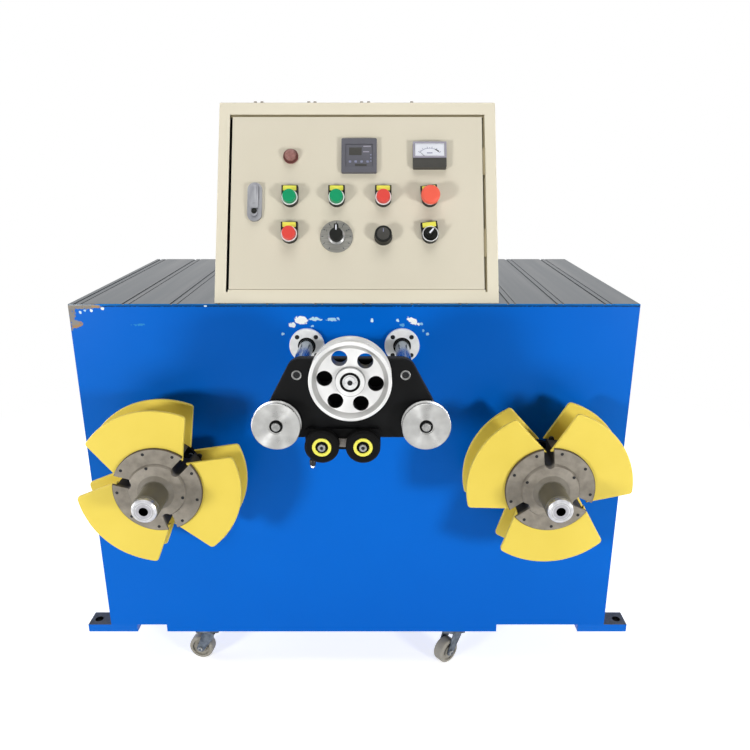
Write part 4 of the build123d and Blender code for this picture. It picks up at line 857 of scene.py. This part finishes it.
# pale painted floor in metres: white from the far radius on, and lifted nearer by, so that
# it goes white where no shadow falls
white = (1, 1, 1, 1)
stageLook = {"size": 14.0, "floor": "#EFEFEC", "mottle": "#F3F3F1", "mottleScale": 3.0, "rough": 0.85,
             "near": 1.15, "far": 2.3, "lift": 0.6, "ambient": 0.07, "backdrop": 1.0}
bm = bmesh.new()
bmesh.ops.create_grid(bm, x_segments=2, y_segments=2, size=stageLook["size"] / 2)
floorMesh = bpy.data.meshes.new("studioFloor")
bm.to_mesh(floorMesh)
bm.free()
studioFloor = bpy.data.objects.new("studioFloor", floorMesh)
scene.collection.objects.link(studioFloor)
floorFinish, tree, shader, place = startFinish("paleFloorPaint")
mottle = addNode(tree, "TexNoise", {"Vector": place, "Scale": stageLook["mottleScale"]})
tone = addNode(tree, "Mix", {
    0: mottle, 6: hexColour(stageLook["floor"]), 7: hexColour(stageLook["mottle"])}, colourMix)
feed(tree, shader, {"Base Color": tone.outputs[2], "Roughness": stageLook["rough"]})
away = addNode(tree, "VectorMath", {0: place}, {"operation": "LENGTH"})
fade = addNode(tree, "MapRange", {0: away.outputs["Value"], 1: stageLook["near"], 2: stageLook["far"]},
               {"interpolation_type": "SMOOTHSTEP"})
seen = seenShare(tree)
share = addNode(tree, "Math", {0: fade, 1: seen}, multiply)
farWhite = addNode(tree, "Emission", {"Color": white, "Strength": stageLook["backdrop"]})
lift = addNode(tree, "Math", {0: seen, 1: stageLook["lift"]}, multiply)
nearWhite = addNode(tree, "Emission", {"Color": white, "Strength": lift})
lifted = addNode(tree, "AddShader", {0: shader, 1: nearWhite})
blend = addNode(tree, "MixShader", {0: share, 1: lifted, 2: farWhite})
output = [n for n in tree.nodes if n.bl_idname == "ShaderNodeOutputMaterial"][0]
feed(tree, output, {"Surface": blend})
floorMesh.materials.append(floorFinish)

world = bpy.data.worlds.new("softStudio")
scene.world = world
world.use_nodes = True
tree = world.node_tree
tree.nodes.clear()
dim = addNode(tree, "Background", {"Color": white, "Strength": stageLook["ambient"]})
bright = addNode(tree, "Background", {"Color": white, "Strength": stageLook["backdrop"]})
sky = addNode(tree, "MixShader", {0: seenShare(tree), 1: dim, 2: bright})
addNode(tree, "OutputWorld", {"Surface": sky})

# soft lamps in metres: one over the machine, one at each front corner, and three low ones for the
# sides and the back, all below the top sheet so that it doesn't mirror them
lampLook = {
    "overhead": {"at": (0.1, -0.3, 3.4), "aim": (0, 0.1, 0.9), "size": (2.0, 2.0), "watts": 36},
    "leftFront": {"at": (-1.9, -2.1, 0.8), "aim": (0, -0.2, 0.7), "size": (0.45, 0.45), "watts": 36},
    "rightFront": {"at": (1.9, -2.1, 0.8), "aim": (0, -0.2, 0.7), "size": (0.45, 0.45), "watts": 36},
    "leftSide": {"at": (-3.0, 0.6, 0.58), "aim": (0, 0.2, 0.6), "size": (1.8, 0.6), "watts": 42},
    "rightSide": {"at": (3.0, 0.6, 0.58), "aim": (0, 0.2, 0.6), "size": (1.8, 0.6), "watts": 42},
    "behind": {"at": (0.0, 3.3, 0.58), "aim": (0, 0.3, 0.6), "size": (2.4, 0.6), "watts": 60},
}
for name, look in lampLook.items():
    lamp = bpy.data.lights.new(name, "AREA")
    lamp.energy = look["watts"]
    lamp.shape = "RECTANGLE"
    lamp.size, lamp.size_y = look["size"]
    lampObject = bpy.data.objects.new(name, lamp)
    lampObject.location = look["at"]
    lampObject.rotation_euler = (Vector(look["aim"]) - Vector(look["at"])).to_track_quat("-Z", "Y").to_euler()
    scene.collection.objects.link(lampObject)

# camera where the picture was taken from, in metres and degrees
cameraLook = {"at": (0.050, -1.641, 1.218), "pitch": 72.2, "lens": 33.94, "sensor": 36, "shiftX": -0.004}
camera = bpy.data.cameras.new("photoView")
camera.lens = cameraLook["lens"]
camera.sensor_width = cameraLook["sensor"]
camera.shift_x = cameraLook["shiftX"]
cameraObject = bpy.data.objects.new("photoView", camera)
cameraObject.location = cameraLook["at"]
cameraObject.rotation_euler = (radians(cameraLook["pitch"]), 0, 0)
scene.collection.objects.link(cameraObject)
scene.camera = cameraObject
print("stage made")
